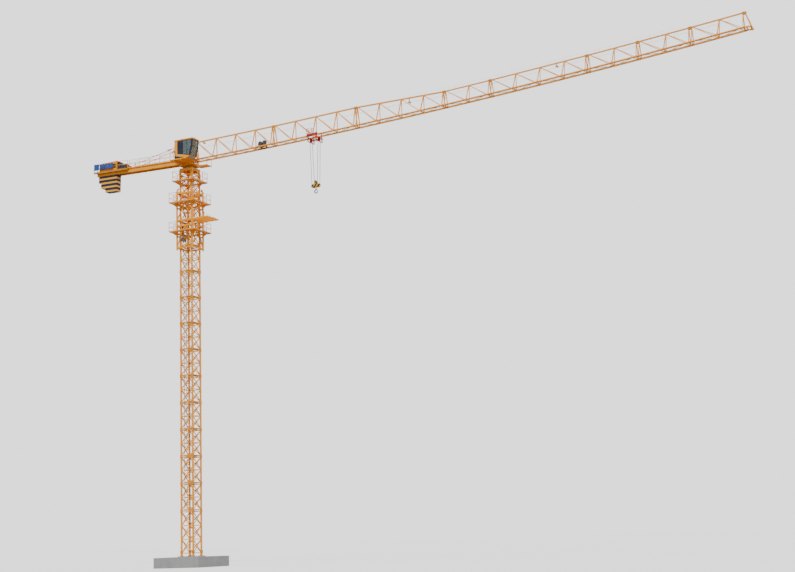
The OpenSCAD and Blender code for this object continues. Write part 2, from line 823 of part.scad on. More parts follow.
// Deck plates on the girders: a narrow one in front, and a wide one with edge boards at the rear
module counter_jib_deck() {
    z = girder_depth + 2 * fit_gap;
    narrow = counter_width / 2 + 32;
    wide = deck_width / 2;
    step = tie_foot + 75;
    rear = -counter_length - 130;
    first_bracket = 60;
    last_bracket = 225;
    brackets = 5;
    pitch = (step - rear - first_bracket - last_bracket) / (brackets - 1);
    color("orange")
        on_counter_jib()
            difference() {
                union() {
                    box([step - 5, -narrow, z], [head_rear - 80, narrow, z + deck_plate]);
                    box([rear, -wide, z], [step, wide, z + deck_plate]);
                    for (s = [-1, 1])
                        box([rear, s * (wide - 6) - 6, z - 65], [step, s * (wide - 6) + 6, z + 30]);
                    for (s = [-1, 1], i = [0:brackets - 1])
                        box([rear + first_bracket + i * pitch, s * (narrow + wide) / 2 - (wide - narrow) / 2 + 4, z - 45],
                            [rear + first_bracket + 20 + i * pitch, s * (narrow + wide) / 2 + (wide - narrow) / 2 - 4, z + 1]);
                }
                for (s = [-1, 1])
                    box([tie_foot - 60, s * tie_y - 40, z - 10], [tie_foot + 60, s * tie_y + 40, z + 70]);
            }
}

module counter_jib_railings() {
    z = girder_depth + 3 * fit_gap + deck_plate;
    narrow = counter_width / 2 + 20;
    wide = deck_width / 2 - 26;
    step = tie_foot + 90;
    color("orange")
        on_counter_jib()
            for (s = [-1, 1]) {
                for (h = [counter_rail / 2, counter_rail - 10])
                    box([step, s * narrow - 8, z + h], [head_rear - 100, s * narrow + 8, z + h + 16]);
                for (i = [0:5]) {
                    x = step + 10 + i * (head_rear - 120 - step) / 5;
                    box([x - 10, s * narrow - 10, z], [x + 10, s * narrow + 10, z + counter_rail + 8]);
                }
                for (h = [counter_rail / 2, counter_rail - 10])
                    box([-counter_length - 120, s * wide - 8, z + h], [step - 40, s * wide + 8, z + h + 16]);
                for (i = [0:3]) {
                    x = -counter_length - 110 + i * (step - 50 + counter_length + 110) / 3;
                    box([x - 10, s * wide - 10, z], [x + 10, s * wide + 10, z + counter_rail + 8]);
                }
            }
}

module tie_rods() {
    low = counter_point(tie_foot, 0, tie_low_z);
    high = [tie_top[0], 0, tie_top[1]];
    along = (high - low) / norm(high - low);
    color("crimson")
        for (s = [-1, 1]) {
            shift = [0, s * tie_y, 0];
            difference() {
                union() {
                    round_bar(low + shift, high + shift, 24);
                    round_bar(high + shift - along * 890, high + shift - along * 670, 52);
                    for (p = [low, high])
                        translate(p + shift + [0, 13, 0]) rotate([90, 0, 0]) cylinder(h = 26, r = 36);
                }
                for (p = [low, high])
                    translate(p + shift + [0, 40, 0]) rotate([90, 0, 0]) cylinder(h = 80, r = 14 + fit_gap);
            }
        }
}

deck_top = girder_depth + 3 * fit_gap + deck_plate;

module hoist_winch() {
    x = -4500;
    axle_z = 205;
    color("dimgray")
        on_counter_jib()
            translate([x, 0, deck_top]) {
                for (y = [-272, 234])
                    box([-228, y, 0], [420, y + 38, 50]);
                for (y = [-254, 236])
                    translate([0, y + 18, axle_z])
                        rotate([90, 0, 0])
                            linear_extrude(18)
                                union() {
                                    circle(r = 190);
                                    translate([-150, -190]) square([300, 190]);
                                }
                translate([0, 240, axle_z]) rotate([90, 0, 0]) cylinder(h = 480, r = 135);
                for (y = [-320, 252])
                    translate([0, y + 68, axle_z]) rotate([90, 0, 0]) cylinder(h = 68, r = 58);
                translate([290, 236, 170]) rotate([90, 0, 0]) cylinder(h = 472, r = 110);
                for (s = [-1, 1])
                    box([230, s * 253 - 18, 40], [350, s * 253 + 18, 190]);
            }
}

// Housing over the hoist's motor and controls, with a roof that slopes down to the winch
module winch_hood() {
    x0 = -5950;
    x1 = -4745;
    eave = -4474;
    half = 270;
    height = 535;
    color("orange")
        on_counter_jib()
            translate([0, 0, deck_top]) {
                translate([0, half, 0])
                    rotate([90, 0, 0])
                        linear_extrude(2 * half)
                            polygon([[x0, 0], [x1, 0], [x1, height - 20], [eave, height - 130], [eave, height - 110],
                                [x1, height], [x0 + 140, height - 45], [x0, height - 110]]);
                box([x0 - 12, -half - 12, 0], [x1 + 12, half + 12, 40]);
            }
}

module sign_board() {
    y = -deck_width / 2 - 2 * fit_gap;
    low = deck_top + 95;
    color("royalblue")
        on_counter_jib() {
            for (x = [140 - counter_length, 1060 - counter_length])
                box([x, y - 14, deck_top - 80], [x + 40, y, low + 300]);
            for (z = [low + 70, low + 250])
                box([-counter_length - 80, y - 26, z], [1228 - counter_length, y - 13, z + 24]);
            box([-counter_length - 90, y - 38, low], [260 - counter_length, y - 25, low + 350]);
            for (i = [0:4])
                box([300 - counter_length + i * 190, y - 38, low + 28], [465 - counter_length + i * 190, y - 25, low + 318]);
        }
}

// Slabs that hang by their shoulders on the rails between the rear girders; those at the end are shorter
module counterweights() {
    parts = [1, 1, 1, 1, 1, 0.735, 0.735, 0.39];
    inner = counter_width / 2 - girder_width;
    color("darkorange")
        on_counter_jib()
            for (i = [0:7]) {
                x = -slab_start - (i + 1) * slab_thickness;
                box([x + 1, -slab_width / 2, -slab_drop * parts[i]], [x + slab_thickness - 1, slab_width / 2, -6]);
                box([x + 1, -inner + 55, -7], [x + slab_thickness - 1, inner - 55, ledge_z + 30]);
                box([x + 1, -inner + 5, ledge_z + fit_gap], [x + slab_thickness - 1, inner - 5, ledge_z + 45]);
            }
}

// Puts what is drawn round the origin on the jib's arc at the trolley, tilted with it
module at_trolley() {
    translate([trolley_reach, 0, arc_z(trolley_reach)])
        rotate([0, -arc_pitch(trolley_reach), 0])
            children();
}

wheel_y = half_chords + low_chord / 2 + 22;
axle_x = trolley_length / 2 - 70;
wheel_gap = fit_gap + (pow(axle_x, 2) + pow(bay / 4, 2)) / (2 * camber_radius);
wheel_z = -low_chord / 2 + 6 + rail_plate + wheel_gap + wheel_d / 2;
side_y = wheel_y + 15 + clearance;
under = -low_chord / 2 - 60;
sheave_x = 240;
sheave_z = -230;

module trolley_frame() {
    hub = 14;
    leg = 52;
    foot = -338;
    color("firebrick")
        at_trolley() {
            for (s = [-1, 1])
                difference() {
                    mirror([0, s > 0 ? 0 : 1, 0]) {
                        box([-trolley_length / 2, side_y, wheel_z - 30], [trolley_length / 2, side_y + 22, wheel_z + 32]);
                        box([-trolley_length / 2, side_y + 3, -176], [trolley_length / 2, side_y + 18, -146]);
                        for (x = [-sheave_x, sheave_x]) {
                            box([x - leg / 2, side_y + 1, foot], [x + leg / 2, side_y + 20, wheel_z + 20]);
                            box([x - 34, side_y + 2, wheel_z], [x + 34, side_y + 19, wheel_z + 60]);
                        }
                    }
                    for (x = [-axle_x, axle_x])
                        translate([x, s * side_y + 60, wheel_z]) rotate([90, 0, 0]) cylinder(h = 120, r = hub + fit_gap);
                }
            for (x = [-sheave_x, sheave_x]) {
                box([x - 24, -side_y - 2, under - 36], [x + 24, side_y + 2, under]);
                box([x - 22, -side_y - 2, foot], [x + 22, side_y + 2, foot + 26]);
                translate([x, 42, sheave_z]) rotate([90, 0, 0]) cylinder(h = 84, r = 15);
            }
            for (s = [-1, 1]) {
                box([-sheave_x, s * 47 - 8, sheave_z + 8], [sheave_x, s * 47 + 8, sheave_z + 40]);
                for (x = [-sheave_x, sheave_x])
                    translate([x, s * 32 + 8, sheave_z])
                        rotate([90, 0, 0])
                            linear_extrude(16)
                                union() {
                                    translate([-60, 0]) square([120, under - 10 - sheave_z]);
                                    circle(r = 60);
                                }
            }
        }
}

module trolley_wheels() {
    color("dimgray")
        at_trolley()
            for (s = [-1, 1], x = [-axle_x, axle_x])
                translate([x, 0, wheel_z])
                    rotate([s > 0 ? -90 : 90, 0, 0]) {
                        translate([0, 0, wheel_y - 15]) cylinder(h = 30, d = wheel_d);
                        translate([0, 0, wheel_y]) cylinder(h = 62, r = 14);
                    }
}

// One grooved rope sheave on an axle along Y
module sheave(diameter, bore) {
    r = diameter / 2;
    rotate([90, 0, 0])
        rotate_extrude($fn = 64)
            polygon([[bore, -19.5], [r * 0.5, -19.5], [r * 0.55, -8], [r * 0.8, -8], [r + 18, -19.5], [r + 18, -15.5],
                [r, -9], [r, 9], [r + 18, 15.5], [r + 18, 19.5], [r * 0.8, 8], [r * 0.55, 8], [r * 0.5, 19.5],
                [bore, 19.5]]);
}

module trolley_sheaves() {
    color("gray")
        at_trolley()
            for (x = [-sheave_x, sheave_x])
                translate([x, 0, sheave_z]) sheave(trolley_sheave, 15 + fit_gap);
}

// Open basket of bars on the near side, for the fitter who rides out to the trolley
module service_basket() {
    y1 = -side_y - 22 - fit_gap;
    y0 = y1 - 220;
    low = -60;
    high = 300;
    x0 = -190;
    x1 = 120;
    color("lightcoral")
        at_trolley() {
            box([x0, y0, low], [x1, y1, low + 10]);
            for (x = [x0 + 9, x1 - 9], y = [y0 + 9, y1 - 9])
                bar([x, y, low + 5], [x, y, high], 16);
            for (z = [low + 90, low + 220, high - 8]) {
                for (y = [y0 + 9, y1 - 9])
                    bar([x0 + 2, y, z], [x1 - 2, y, z], 12);
                for (x = [x0 + 9, x1 - 9])
                    bar([x, y0 + 2, z], [x, y1 - 2, z], 12);
            }
            for (x = [x0 + 30, x1 - 80])
                box([x, y1 - 20, wheel_z - 20], [x + 50, y1, wheel_z + 20]);
        }
}

// World place of a point that is given along and over the trolley's own frame
function trolley_point(x, z) = [
    trolley_reach + x * cos(arc_pitch(trolley_reach)) - z * sin(arc_pitch(trolley_reach)),
    0,
    arc_z(trolley_reach) + x * sin(arc_pitch(trolley_reach)) + z * cos(arc_pitch(trolley_reach))
];

block_x = trolley_reach;
block_sheave_x = 155;
falls_top = arc_z(trolley_reach) + sheave_z;

// Four falls of rope, each from the side of a trolley sheave to the side of a block sheave
module rope_falls() {
    top_r = trolley_sheave / 2 + rope_d / 2 + 2 * fit_gap;
    low_r = block_sheave / 2 + rope_d / 2 + 2 * fit_gap;
    color("black")
        for (s = [-1, 1], side = [-1, 1]) {
            top = trolley_point(s * sheave_x, sheave_z);
            round_bar([block_x + s * block_sheave_x + side * low_r, 0, hook_z()],
                [top[0] + side * top_r, 0, falls_top], rope_d, 8);
        }
}

// Side view of a hook block cheek: three rounded corners round the axles
module block_cheek() {
    polygon([[-block_sheave_x, -80], [block_sheave_x, -80], [70, 225], [-70, 225]]);
    for (x = [-block_sheave_x, block_sheave_x])
        translate([x, 0]) circle(r = 104);
    translate([0, 207]) circle(r = 80);
}

module hook_block() {
    color("gold")
        translate([block_x, 0, hook_z()]) {
            for (y = [-46, 30])
                translate([0, y + 16, 0]) rotate([90, 0, 0]) linear_extrude(16) block_cheek();
            for (x = [-block_sheave_x, block_sheave_x])
                translate([x, 0, 0]) sheave(block_sheave, 12);
            for (x = [-block_sheave_x, block_sheave_x])
                translate([x, 40, 0]) rotate([90, 0, 0]) cylinder(h = 80, r = 13);
            translate([0, 40, 207]) rotate([90, 0, 0]) cylinder(h = 80, r = 30);
            difference() {
                translate([-70, -35, -85]) cube([140, 70, 60]);
                translate([0, 0, -90]) cylinder(h = 70, r = hook_shank + fit_gap);
            }
        }
}

hook_shank = 20;
shank_nut = 27;

module hook() {
    z = hook_z() - 85;
    bowl = 87;
    bar_d = 50;
    start = 118;
    turn = 225;
    neck = 26;
    color("dimgray")
        translate([block_x, 0, z]) {
            translate([0, 0, -125]) cylinder(h = 195, r = hook_shank);
            translate([0, 0, 60 + fit_gap]) cylinder(h = 22, r = shank_nut);
            translate([0, 0, -fit_gap - 14]) cylinder(h = 14, r = 42);
            translate([0, 0, -138]) cylinder(h = 98, r = neck);
            translate([0, 0, -138]) sphere(r = neck);
            translate([0, 0, -215])
                rotate([90, 0, 0]) {
                    rotate([0, 0, start])
                        rotate_extrude(angle = turn)
                            translate([bowl, 0]) circle(d = bar_d);
                    for (a = [start, start + turn])
                        rotate([0, 0, a]) translate([bowl, 0, 0]) sphere(d = bar_d);
                    rotate([0, 0, start]) translate([bowl, 0, 0]) rotate([0, 90, -start - 8]) cylinder(h = 44, d = bar_d);
                    rotate([0, 0, start + turn])
                        translate([bowl, 0, 0])
                            rotate([-90, 0, -13])
                                cylinder(h = 44, r1 = bar_d / 2 - 1, r2 = 11);
                }
        }
}

foundation_block();
fixing_feet();
base_section();
mast_sections_lower();
mast_sections_middle();
mast_sections_upper();
mast_head_section();
mast_ladders();
rest_platforms();
mast_top_platform();
climbing_cage();
cage_upper_platform();
cage_lower_platform();
introduction_rails();
climbing_cylinder();
lower_support();
slewing_ring();
turntable();
tower_head();
slewing_motors();
cab_platform();
cab_shell();
cab_glass();
operator_seat();
ring_access_platform();
jib_section_1();
jib_section_2();
jib_section_3();
jib_section_4();
jib_section_5();
jib_section_6();
jib_section_7();
jib_section_8();
jib_tip();
trolley_winch();
counter_jib();
counter_jib_deck();
counter_jib_railings();
tie_rods();
hoist_winch();
winch_hood();
sign_board();
counterweights();
trolley_frame();
trolley_wheels();
trolley_sheaves();
service_basket();
rope_falls();
hook_block();
hook();
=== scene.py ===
"""Looks of the flat-top tower crane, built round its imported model."""
import json
import math

import bmesh
import bpy
from mathutils import Matrix, Vector

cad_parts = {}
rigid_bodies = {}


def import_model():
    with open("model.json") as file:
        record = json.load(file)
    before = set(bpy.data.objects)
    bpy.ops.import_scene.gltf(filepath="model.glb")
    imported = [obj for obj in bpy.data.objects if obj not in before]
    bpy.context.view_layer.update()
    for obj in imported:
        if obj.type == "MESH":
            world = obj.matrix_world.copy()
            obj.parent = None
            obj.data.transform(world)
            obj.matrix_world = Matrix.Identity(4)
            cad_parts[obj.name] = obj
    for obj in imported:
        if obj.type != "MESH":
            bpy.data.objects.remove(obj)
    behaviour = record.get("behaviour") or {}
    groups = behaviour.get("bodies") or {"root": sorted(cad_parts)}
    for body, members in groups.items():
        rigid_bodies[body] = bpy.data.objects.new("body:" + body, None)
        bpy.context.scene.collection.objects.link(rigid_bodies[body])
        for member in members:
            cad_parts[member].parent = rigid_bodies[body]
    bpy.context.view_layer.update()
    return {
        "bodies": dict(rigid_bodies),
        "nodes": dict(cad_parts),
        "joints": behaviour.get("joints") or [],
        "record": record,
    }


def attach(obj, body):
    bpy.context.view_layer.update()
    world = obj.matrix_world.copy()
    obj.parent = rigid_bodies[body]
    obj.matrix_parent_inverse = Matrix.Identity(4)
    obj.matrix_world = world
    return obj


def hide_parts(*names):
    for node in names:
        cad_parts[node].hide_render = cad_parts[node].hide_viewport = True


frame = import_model()
nodes = frame["nodes"]

# Sizes shared with the CAD model, in metres

# The gap between neighbours
FIT_GAP = 0.0003

# The jib: its lower chords' middle line is an arc that is lowest at CAMBER_X
CHORD_Z = 21.5213
CAMBER_RADIUS = 410.0
CAMBER_X = -4.8
JIB_ROOT = 0.4
BAY = 1.24
SECTION_BAYS = (4, 4, 4, 2, 4, 2, 2, 2)
TRUSS_HIGH = 1.02
TRUSS_LOW = 0.76
HALF_CHORDS = 0.22
NODE_LEAD = 0.10

# The trolley, its sheaves and the hook block's axles
TROLLEY_X = 7.85
SHEAVE_X = 0.24
SHEAVE_DROP = 0.230
HOOK_DROP = 2.65

# The block, the mast and the climbing cage
BLOCK_TOP = 0.53
MAST_BASE = 2.865
SECTION = 1.4
SECTIONS = 12
LEG_AT = 0.36
LEG = 0.075
MAST_FACE = LEG_AT + LEG / 2 + FIT_GAP
SUPPORT_TOP = 21.15
CAGE_BOTTOM = 16.63
CAGE_AT = 0.495

# Railed decks round the mast: the tops of their plates and half of their widths and openings
TOP_DECK_Z = 20.409
UPPER_CAGE_DECK_Z = 19.204
LOWER_CAGE_DECK_Z = 17.614
TOP_DECK_HALF = 0.68
CAGE_DECK_HALF = 0.81
CAGE_DECK_HOLE = 0.5303
DECK_EDGE = 0.02
GRATING_DEEP = 0.0142

# The counter-jib, which slopes up towards its rear, and what stands on it
COUNTER_PITCH = math.radians(1.4)
COUNTER_HEIGHT = 21.4303
DECK_TOP = 0.2309
WINCH_X = -4.50
WINCH_AXLE = 0.205
HOOD_FRONT = -4.745
HOOD_SIDE = 0.270
TIE_FOOT = -3.980
TIE_Y = 0.200
SLAB_START = -4.790
SLAB_PITCH = 0.156

# The cab's lower rear corner on the near side, and its size
CAB = (-0.13, -1.215, 21.4326)
CAB_LENGTH = 1.15
CAB_WIDTH = 0.60
CAB_HEIGHT = 1.03
CAB_WALL = 0.020


def arc_z(x):
    """Height of the lower chords' middle line at x."""
    return CHORD_Z + CAMBER_RADIUS - math.sqrt(CAMBER_RADIUS ** 2 - (x - CAMBER_X) ** 2)


def section_joint(n):
    """Where jib section n ends; 0 is the jib's root."""
    return JIB_ROOT + sum(SECTION_BAYS[:n]) * BAY


def top_z(x):
    """Height of the upper chord's middle line at x."""
    start, end = section_joint(2), section_joint(3)
    part = min(max((x - start) / (end - start), 0.0), 1.0)
    return arc_z(x) + TRUSS_HIGH + (TRUSS_LOW - TRUSS_HIGH) * part


def counter_point(x, y, z):
    """A point given along the counter-jib and over its underside."""
    c, s = math.cos(COUNTER_PITCH), math.sin(COUNTER_PITCH)
    return Vector((x * c + z * s, y, COUNTER_HEIGHT - x * s + z * c))


# Camera

CAMERA_AT = (41.65, -58.81, 1.088)
CAMERA_TURN = math.radians(26.49)
CAMERA_TILT = math.radians(10.54)
CAMERA_ROLL = math.radians(-1.89)
CAMERA_LENS = 61.54


def place_camera():
    """Stands the camera near the ground, where the photo was taken from."""
    level = Vector((math.cos(CAMERA_TURN), math.sin(CAMERA_TURN), 0.0))
    ahead = Vector((-math.sin(CAMERA_TURN), math.cos(CAMERA_TURN), 0.0))
    forward = ahead * math.cos(CAMERA_TILT) + Vector((0.0, 0.0, math.sin(CAMERA_TILT)))
    upright = level.cross(forward)
    right = level * math.cos(CAMERA_ROLL) + upright * math.sin(CAMERA_ROLL)
    up = -level * math.sin(CAMERA_ROLL) + upright * math.cos(CAMERA_ROLL)
    lens = bpy.data.cameras.new("camera")
    lens.sensor_width = 36.0
    lens.lens = CAMERA_LENS
    lens.clip_end = 1000.0
    camera = bpy.data.objects.new("camera", lens)
    turned = Matrix((right, up, -forward)).transposed().to_4x4()
    camera.matrix_world = Matrix.Translation(CAMERA_AT) @ turned
    bpy.context.scene.collection.objects.link(camera)
    bpy.context.scene.camera = camera


place_camera()


# Shader tools

def new_group(name, inputs, outputs):
    """An empty node group with its sockets, and its two end nodes."""
    group = bpy.data.node_groups.new(name, "ShaderNodeTree")
    for label, kind, value in inputs:
        socket = group.interface.new_socket(label, in_out="INPUT", socket_type=kind)
        socket.default_value = value
    for label in outputs:
        group.interface.new_socket(label, in_out="OUTPUT", socket_type="NodeSocketFloat")
    return group, group.nodes.new("NodeGroupInput"), group.nodes.new("NodeGroupOutput")


def put(tree, kind, **settings):
    """A new node. A setting is one of its own, or a socket by its name or its number as i0, i1 and so on."""
    node = tree.nodes.new(kind)
    for key, value in settings.items():
        if hasattr(node, key):
            setattr(node, key, value)
            continue
        socket = node.inputs[int(key[1:]) if key[1:].isdigit() else key.replace("_", " ")]
        if isinstance(value, bpy.types.NodeSocket):
            tree.links.new(value, socket)
        else:
            socket.default_value = value
    return node


def join(tree, shader, **sources):
    """Joins outputs to the shader's sockets of those names."""
    for key, source in sources.items():
        tree.links.new(source, shader.inputs[key.replace("_", " ")])


def ramp(tree, factor, *stops):
    """A colour ramp with (position, colour) stops."""
    node = tree.nodes.new("ShaderNodeValToRGB")
    node.color_ramp.elements.remove(node.color_ramp.elements[0])
    first = node.color_ramp.elements[0]
    first.position, first.color = stops[0][0], (*stops[0][1], 1.0)
    for position, colour in stops[1:]:
        node.color_ramp.elements.new(position).color = (*colour, 1.0)
    tree.links.new(factor, node.inputs["Fac"])
    return node.outputs["Color"]


def grey_ramp(tree, factor, *stops):
    """A ramp with (position, value) stops."""
    return ramp(tree, factor, *((position, (value,) * 3) for position, value in stops))


def math_node(tree, operation, a, b=0.0):
    """The output of one operation; a and b are outputs or plain numbers."""
    return put(tree, "ShaderNodeMath", operation=operation, i0=a, i1=b).outputs[0]


def product(tree, first, *others):
    """All the given outputs multiplied together."""
    for other in others:
        first = math_node(tree, "MULTIPLY", first, other)
    return first


def repeat(tree, along, pitch):
    """Runs from 0 to 1 again and again, once in every pitch."""
    return math_node(tree, "FRACT", math_node(tree, "DIVIDE", along, pitch))


def mix_colour(tree, factor, a, b):
    """Output a turned towards b, an output or a plain colour, by factor."""
    b = b if isinstance(b, bpy.types.NodeSocket) else (*b, 1.0)
    return put(tree, "ShaderNodeMix", data_type="RGBA", i0=factor, i6=a, i7=b).outputs[2]


def object_coordinates(tree):
    """The place on the piece, in metres from the crane's origin."""
    return put(tree, "ShaderNodeTexCoord").outputs["Object"]


def object_parts(tree):
    """The X, Y and Z outputs of the object coordinates."""
    return put(tree, "ShaderNodeSeparateXYZ", Vector=object_coordinates(tree)).outputs


# Shader groups

def weathering_group():
    """Soft blotches, upright rain streaks and fine grain, as three masks."""
    scales = (("Blotch Scale", 3.0), ("Streak Scale", 30.0), ("Grain Scale", 260.0))
    group, given, out = new_group("weathering", [(label, "NodeSocketFloat", value) for label, value in scales],
                                  ["Blotch", "Streak", "Grain"])
    place = object_coordinates(group)
    squeezed = put(group, "ShaderNodeMapping", Vector=place, Scale=(1.0, 1.0, 0.07)).outputs["Vector"]
    noises = (("Blotch", place, 5.0, 0.62), ("Streak", squeezed, 4.0, 0.55), ("Grain", place, 2.0, 0.5))
    for label, where, detail, roughness in noises:
        noise = put(group, "ShaderNodeTexNoise", Vector=where, Scale=given.outputs[label + " Scale"],
                    Detail=detail, Roughness=roughness)
        group.links.new(noise.outputs["Fac"], out.inputs[label])
    return group


def band_group():
    """Alternating bands along one direction, as a mask that is one on every other band."""
    group, given, out = new_group(
        "bands",
        [("Direction", "NodeSocketVector", (0.0, 0.0, 1.0)), ("Pitch", "NodeSocketFloat", 0.2),
         ("Start", "NodeSocketFloat", 0.0), ("Share", "NodeSocketFloat", 0.5)],
        ["Band"])
    along = put(group, "ShaderNodeVectorMath", operation="DOT_PRODUCT", i0=object_coordinates(group),
                i1=given.outputs["Direction"]).outputs["Value"]
    shifted = math_node(group, "SUBTRACT", along, given.outputs["Start"])
    part = repeat(group, shifted, given.outputs["Pitch"])
    group.links.new(math_node(group, "LESS_THAN", part, given.outputs["Share"]), out.inputs["Band"])
    return group


WEATHERING = weathering_group()
BANDS = band_group()


def use_group(tree, group, **values):
    """A group placed in a material with its own values."""
    return put(tree, "ShaderNodeGroup", node_tree=group, **values)


# Materials

def blank_material(name, **constants):
    """A new material with its tree and its shader; the constants are the shader's plain values."""
    material = bpy.data.materials.new(name)
    material.use_nodes = True
    tree = material.node_tree
    shader = tree.nodes["Principled BSDF"]
    for key, value in constants.items():
        shader.inputs[key.replace("_", " ")].default_value = value
    return material, tree, shader


def add_bump(tree, shader, height, strength, distance):
    """Raises the surface by a height mask; distance is in metres."""
    bump = put(tree, "ShaderNodeBump", Height=height, Strength=strength, Distance=distance)
    join(tree, shader, Normal=bump.outputs["Normal"])


ORANGE = (0.95, 0.375, 0.001)
ORANGE_DARK = (0.90, 0.315, 0.001)
DUST = (0.62, 0.52, 0.38)
NEARLY_BLACK = (0.004, 0.005, 0.006)
NAVY_BLACK = (0.004, 0.010, 0.034)
PLATE_BLUE = (0.240, 0.330, 0.460)
ALONG_Z = (0.0, 0.0, 1.0)
FOOT_PLATE_TOP = 0.558


def begin_paint(name, colour, dark):
    """A material with a coat of paint: its satin sheen and grain are in place, its colour is handed back."""
    material, tree, shader = blank_material(name)
    marks = use_group(tree, WEATHERING, Blotch_Scale=2.3, Streak_Scale=22.0, Grain_Scale=420.0)
    join(tree, shader, Roughness=grey_ramp(tree, marks.outputs["Blotch"], (0.35, 0.34), (0.70, 0.56)))
    add_bump(tree, shader, marks.outputs["Grain"], 0.10, 0.002)
    base = ramp(tree, marks.outputs["Blotch"], (0.30, dark), (0.62, colour))
    return material, tree, shader, marks.outputs, base


def paint(name, colour, dark, wear, stripe=None):
    """Weathered paint; stripe is (second colour, direction, pitch, start, share)."""
    material, tree, shader, marks, base = begin_paint(name, colour, dark)
    if stripe:
        second, direction, pitch, start, share = stripe
        bands = use_group(tree, BANDS, Direction=direction, Pitch=pitch, Start=start, Share=share)
        base = mix_colour(tree, bands.outputs["Band"], base, second)
    streaks = grey_ramp(tree, marks["Streak"], (0.55, 0.0), (0.80, wear))
    join(tree, shader, Base_Color=mix_colour(tree, streaks, base, DUST))
    return material


orange_paint = paint("orange_paint", ORANGE, ORANGE_DARK, 0.16)
orange_deck = paint("orange_deck", (0.78, 0.310, 0.010), (0.60, 0.225, 0.008), 0.25)
# A darker orange for parts seen from below (turntable, jib pins and joint plates, lamp housings): painted
# shade on their undersides, with the same dust streaks as the other paints
painted_shade_orange = paint("painted_shade_orange", (0.68, 0.280, 0.010), (0.52, 0.205, 0.008), 0.20)
navy_paint = paint("navy_paint", (0.010, 0.016, 0.040), (0.006, 0.010, 0.026), 0.05)
red_paint = paint("red_paint", (0.68, 0.008, 0.020), (0.46, 0.006, 0.014), 0.10)
faded_red = paint("faded_red", (0.70, 0.075, 0.070), (0.58, 0.050, 0.048), 0.18)
grey_paint = paint("grey_paint", (0.060, 0.066, 0.078), (0.038, 0.042, 0.050), 0.20)
pale_grey_paint = paint("pale_grey_paint", (0.22, 0.225, 0.225), (0.15, 0.155, 0.158), 0.20)
blue_paint = paint("blue_paint", (0.018, 0.078, 0.330), (0.012, 0.055, 0.240), 0.12)
pale_orange = paint("pale_orange", (0.90, 0.52, 0.20), (0.82, 0.42, 0.14), 0.15)

# One band of a 10 m pitch: it covers the foot plates, and the feet above stay orange
feet_paint = paint("feet_paint", ORANGE, ORANGE_DARK, 0.25,
                   stripe=(PLATE_BLUE, ALONG_Z, 10.0, 0.0, FOOT_PLATE_TOP / 10.0))

# Bands across the slabs, which lean with the counter-jib, and aslant over the hook block
SLAB_UP = (math.sin(COUNTER_PITCH), 0.0, math.cos(COUNTER_PITCH))
slab_paint = paint("slab_paint", (0.92, 0.42, 0.012), (0.88, 0.37, 0.010), 0.10,
                   stripe=(NAVY_BLACK, SLAB_UP, 0.240, 21.542, 0.60))
block_paint = paint("block_paint", (0.84, 0.44, 0.020), (0.70, 0.34, 0.016), 0.12,
                    stripe=(NEARLY_BLACK, (-0.8, 0.0, 0.6), 0.170, 0.040, 0.50))


def steel(name, colour, dark, roughness, metallic=1.0, scale=90.0):
    """Bare, galvanised or glazed surfaces with a mottled sheen between two roughnesses."""
    material, tree, shader = blank_material(name, Metallic=metallic)
    marks = use_group(tree, WEATHERING, Blotch_Scale=scale, Streak_Scale=40.0, Grain_Scale=700.0).outputs
    join(tree, shader, Base_Color=ramp(tree, marks["Blotch"], (0.35, dark), (0.65, colour)),
         Roughness=grey_ramp(tree, marks["Streak"], (0.3, roughness[0]), (0.7, roughness[1])))
    add_bump(tree, shader, marks["Grain"], 0.15, 0.001)
    return material


galvanised = steel("galvanised", (0.56, 0.57, 0.57), (0.38, 0.39, 0.40), (0.35, 0.55))
oily_steel = steel("oily_steel", (0.26, 0.19, 0.12), (0.14, 0.10, 0.07), (0.30, 0.50), 0.6, 20.0)
dark_steel = steel("dark_steel", (0.030, 0.030, 0.032), (0.014, 0.014, 0.015), (0.42, 0.62), 0.3)
bolt_steel = steel("bolt_steel", (0.34, 0.32, 0.28), (0.20, 0.17, 0.13), (0.40, 0.60))
dark_pane = steel("dark_pane", (0.030, 0.045, 0.055), (0.018, 0.028, 0.036), (0.06, 0.14), 0.0, 8.0)


def rope_material():
    """Greased wire rope, its strands shown by slanting bands."""
    material, tree, shader = blank_material("wire_rope", Metallic=0.2)
    strands = put(tree, "ShaderNodeTexWave", wave_type="BANDS", bands_direction="DIAGONAL",
                  Vector=object_coordinates(tree), Scale=42.0, Distortion=0.6).outputs["Fac"]
    marks = use_group(tree, WEATHERING, Blotch_Scale=6.0).outputs
    grease = ramp(tree, marks["Blotch"], (0.3, (0.010, 0.010, 0.011)), (0.7, (0.022, 0.022, 0.022)))
    join(tree, shader, Base_Color=mix_colour(tree, strands, grease, (0.034, 0.034, 0.035)),
         Roughness=grey_ramp(tree, marks["Streak"], (0.3, 0.40), (0.7, 0.60)))
    add_bump(tree, shader, strands, 0.8, 0.002)
    return material


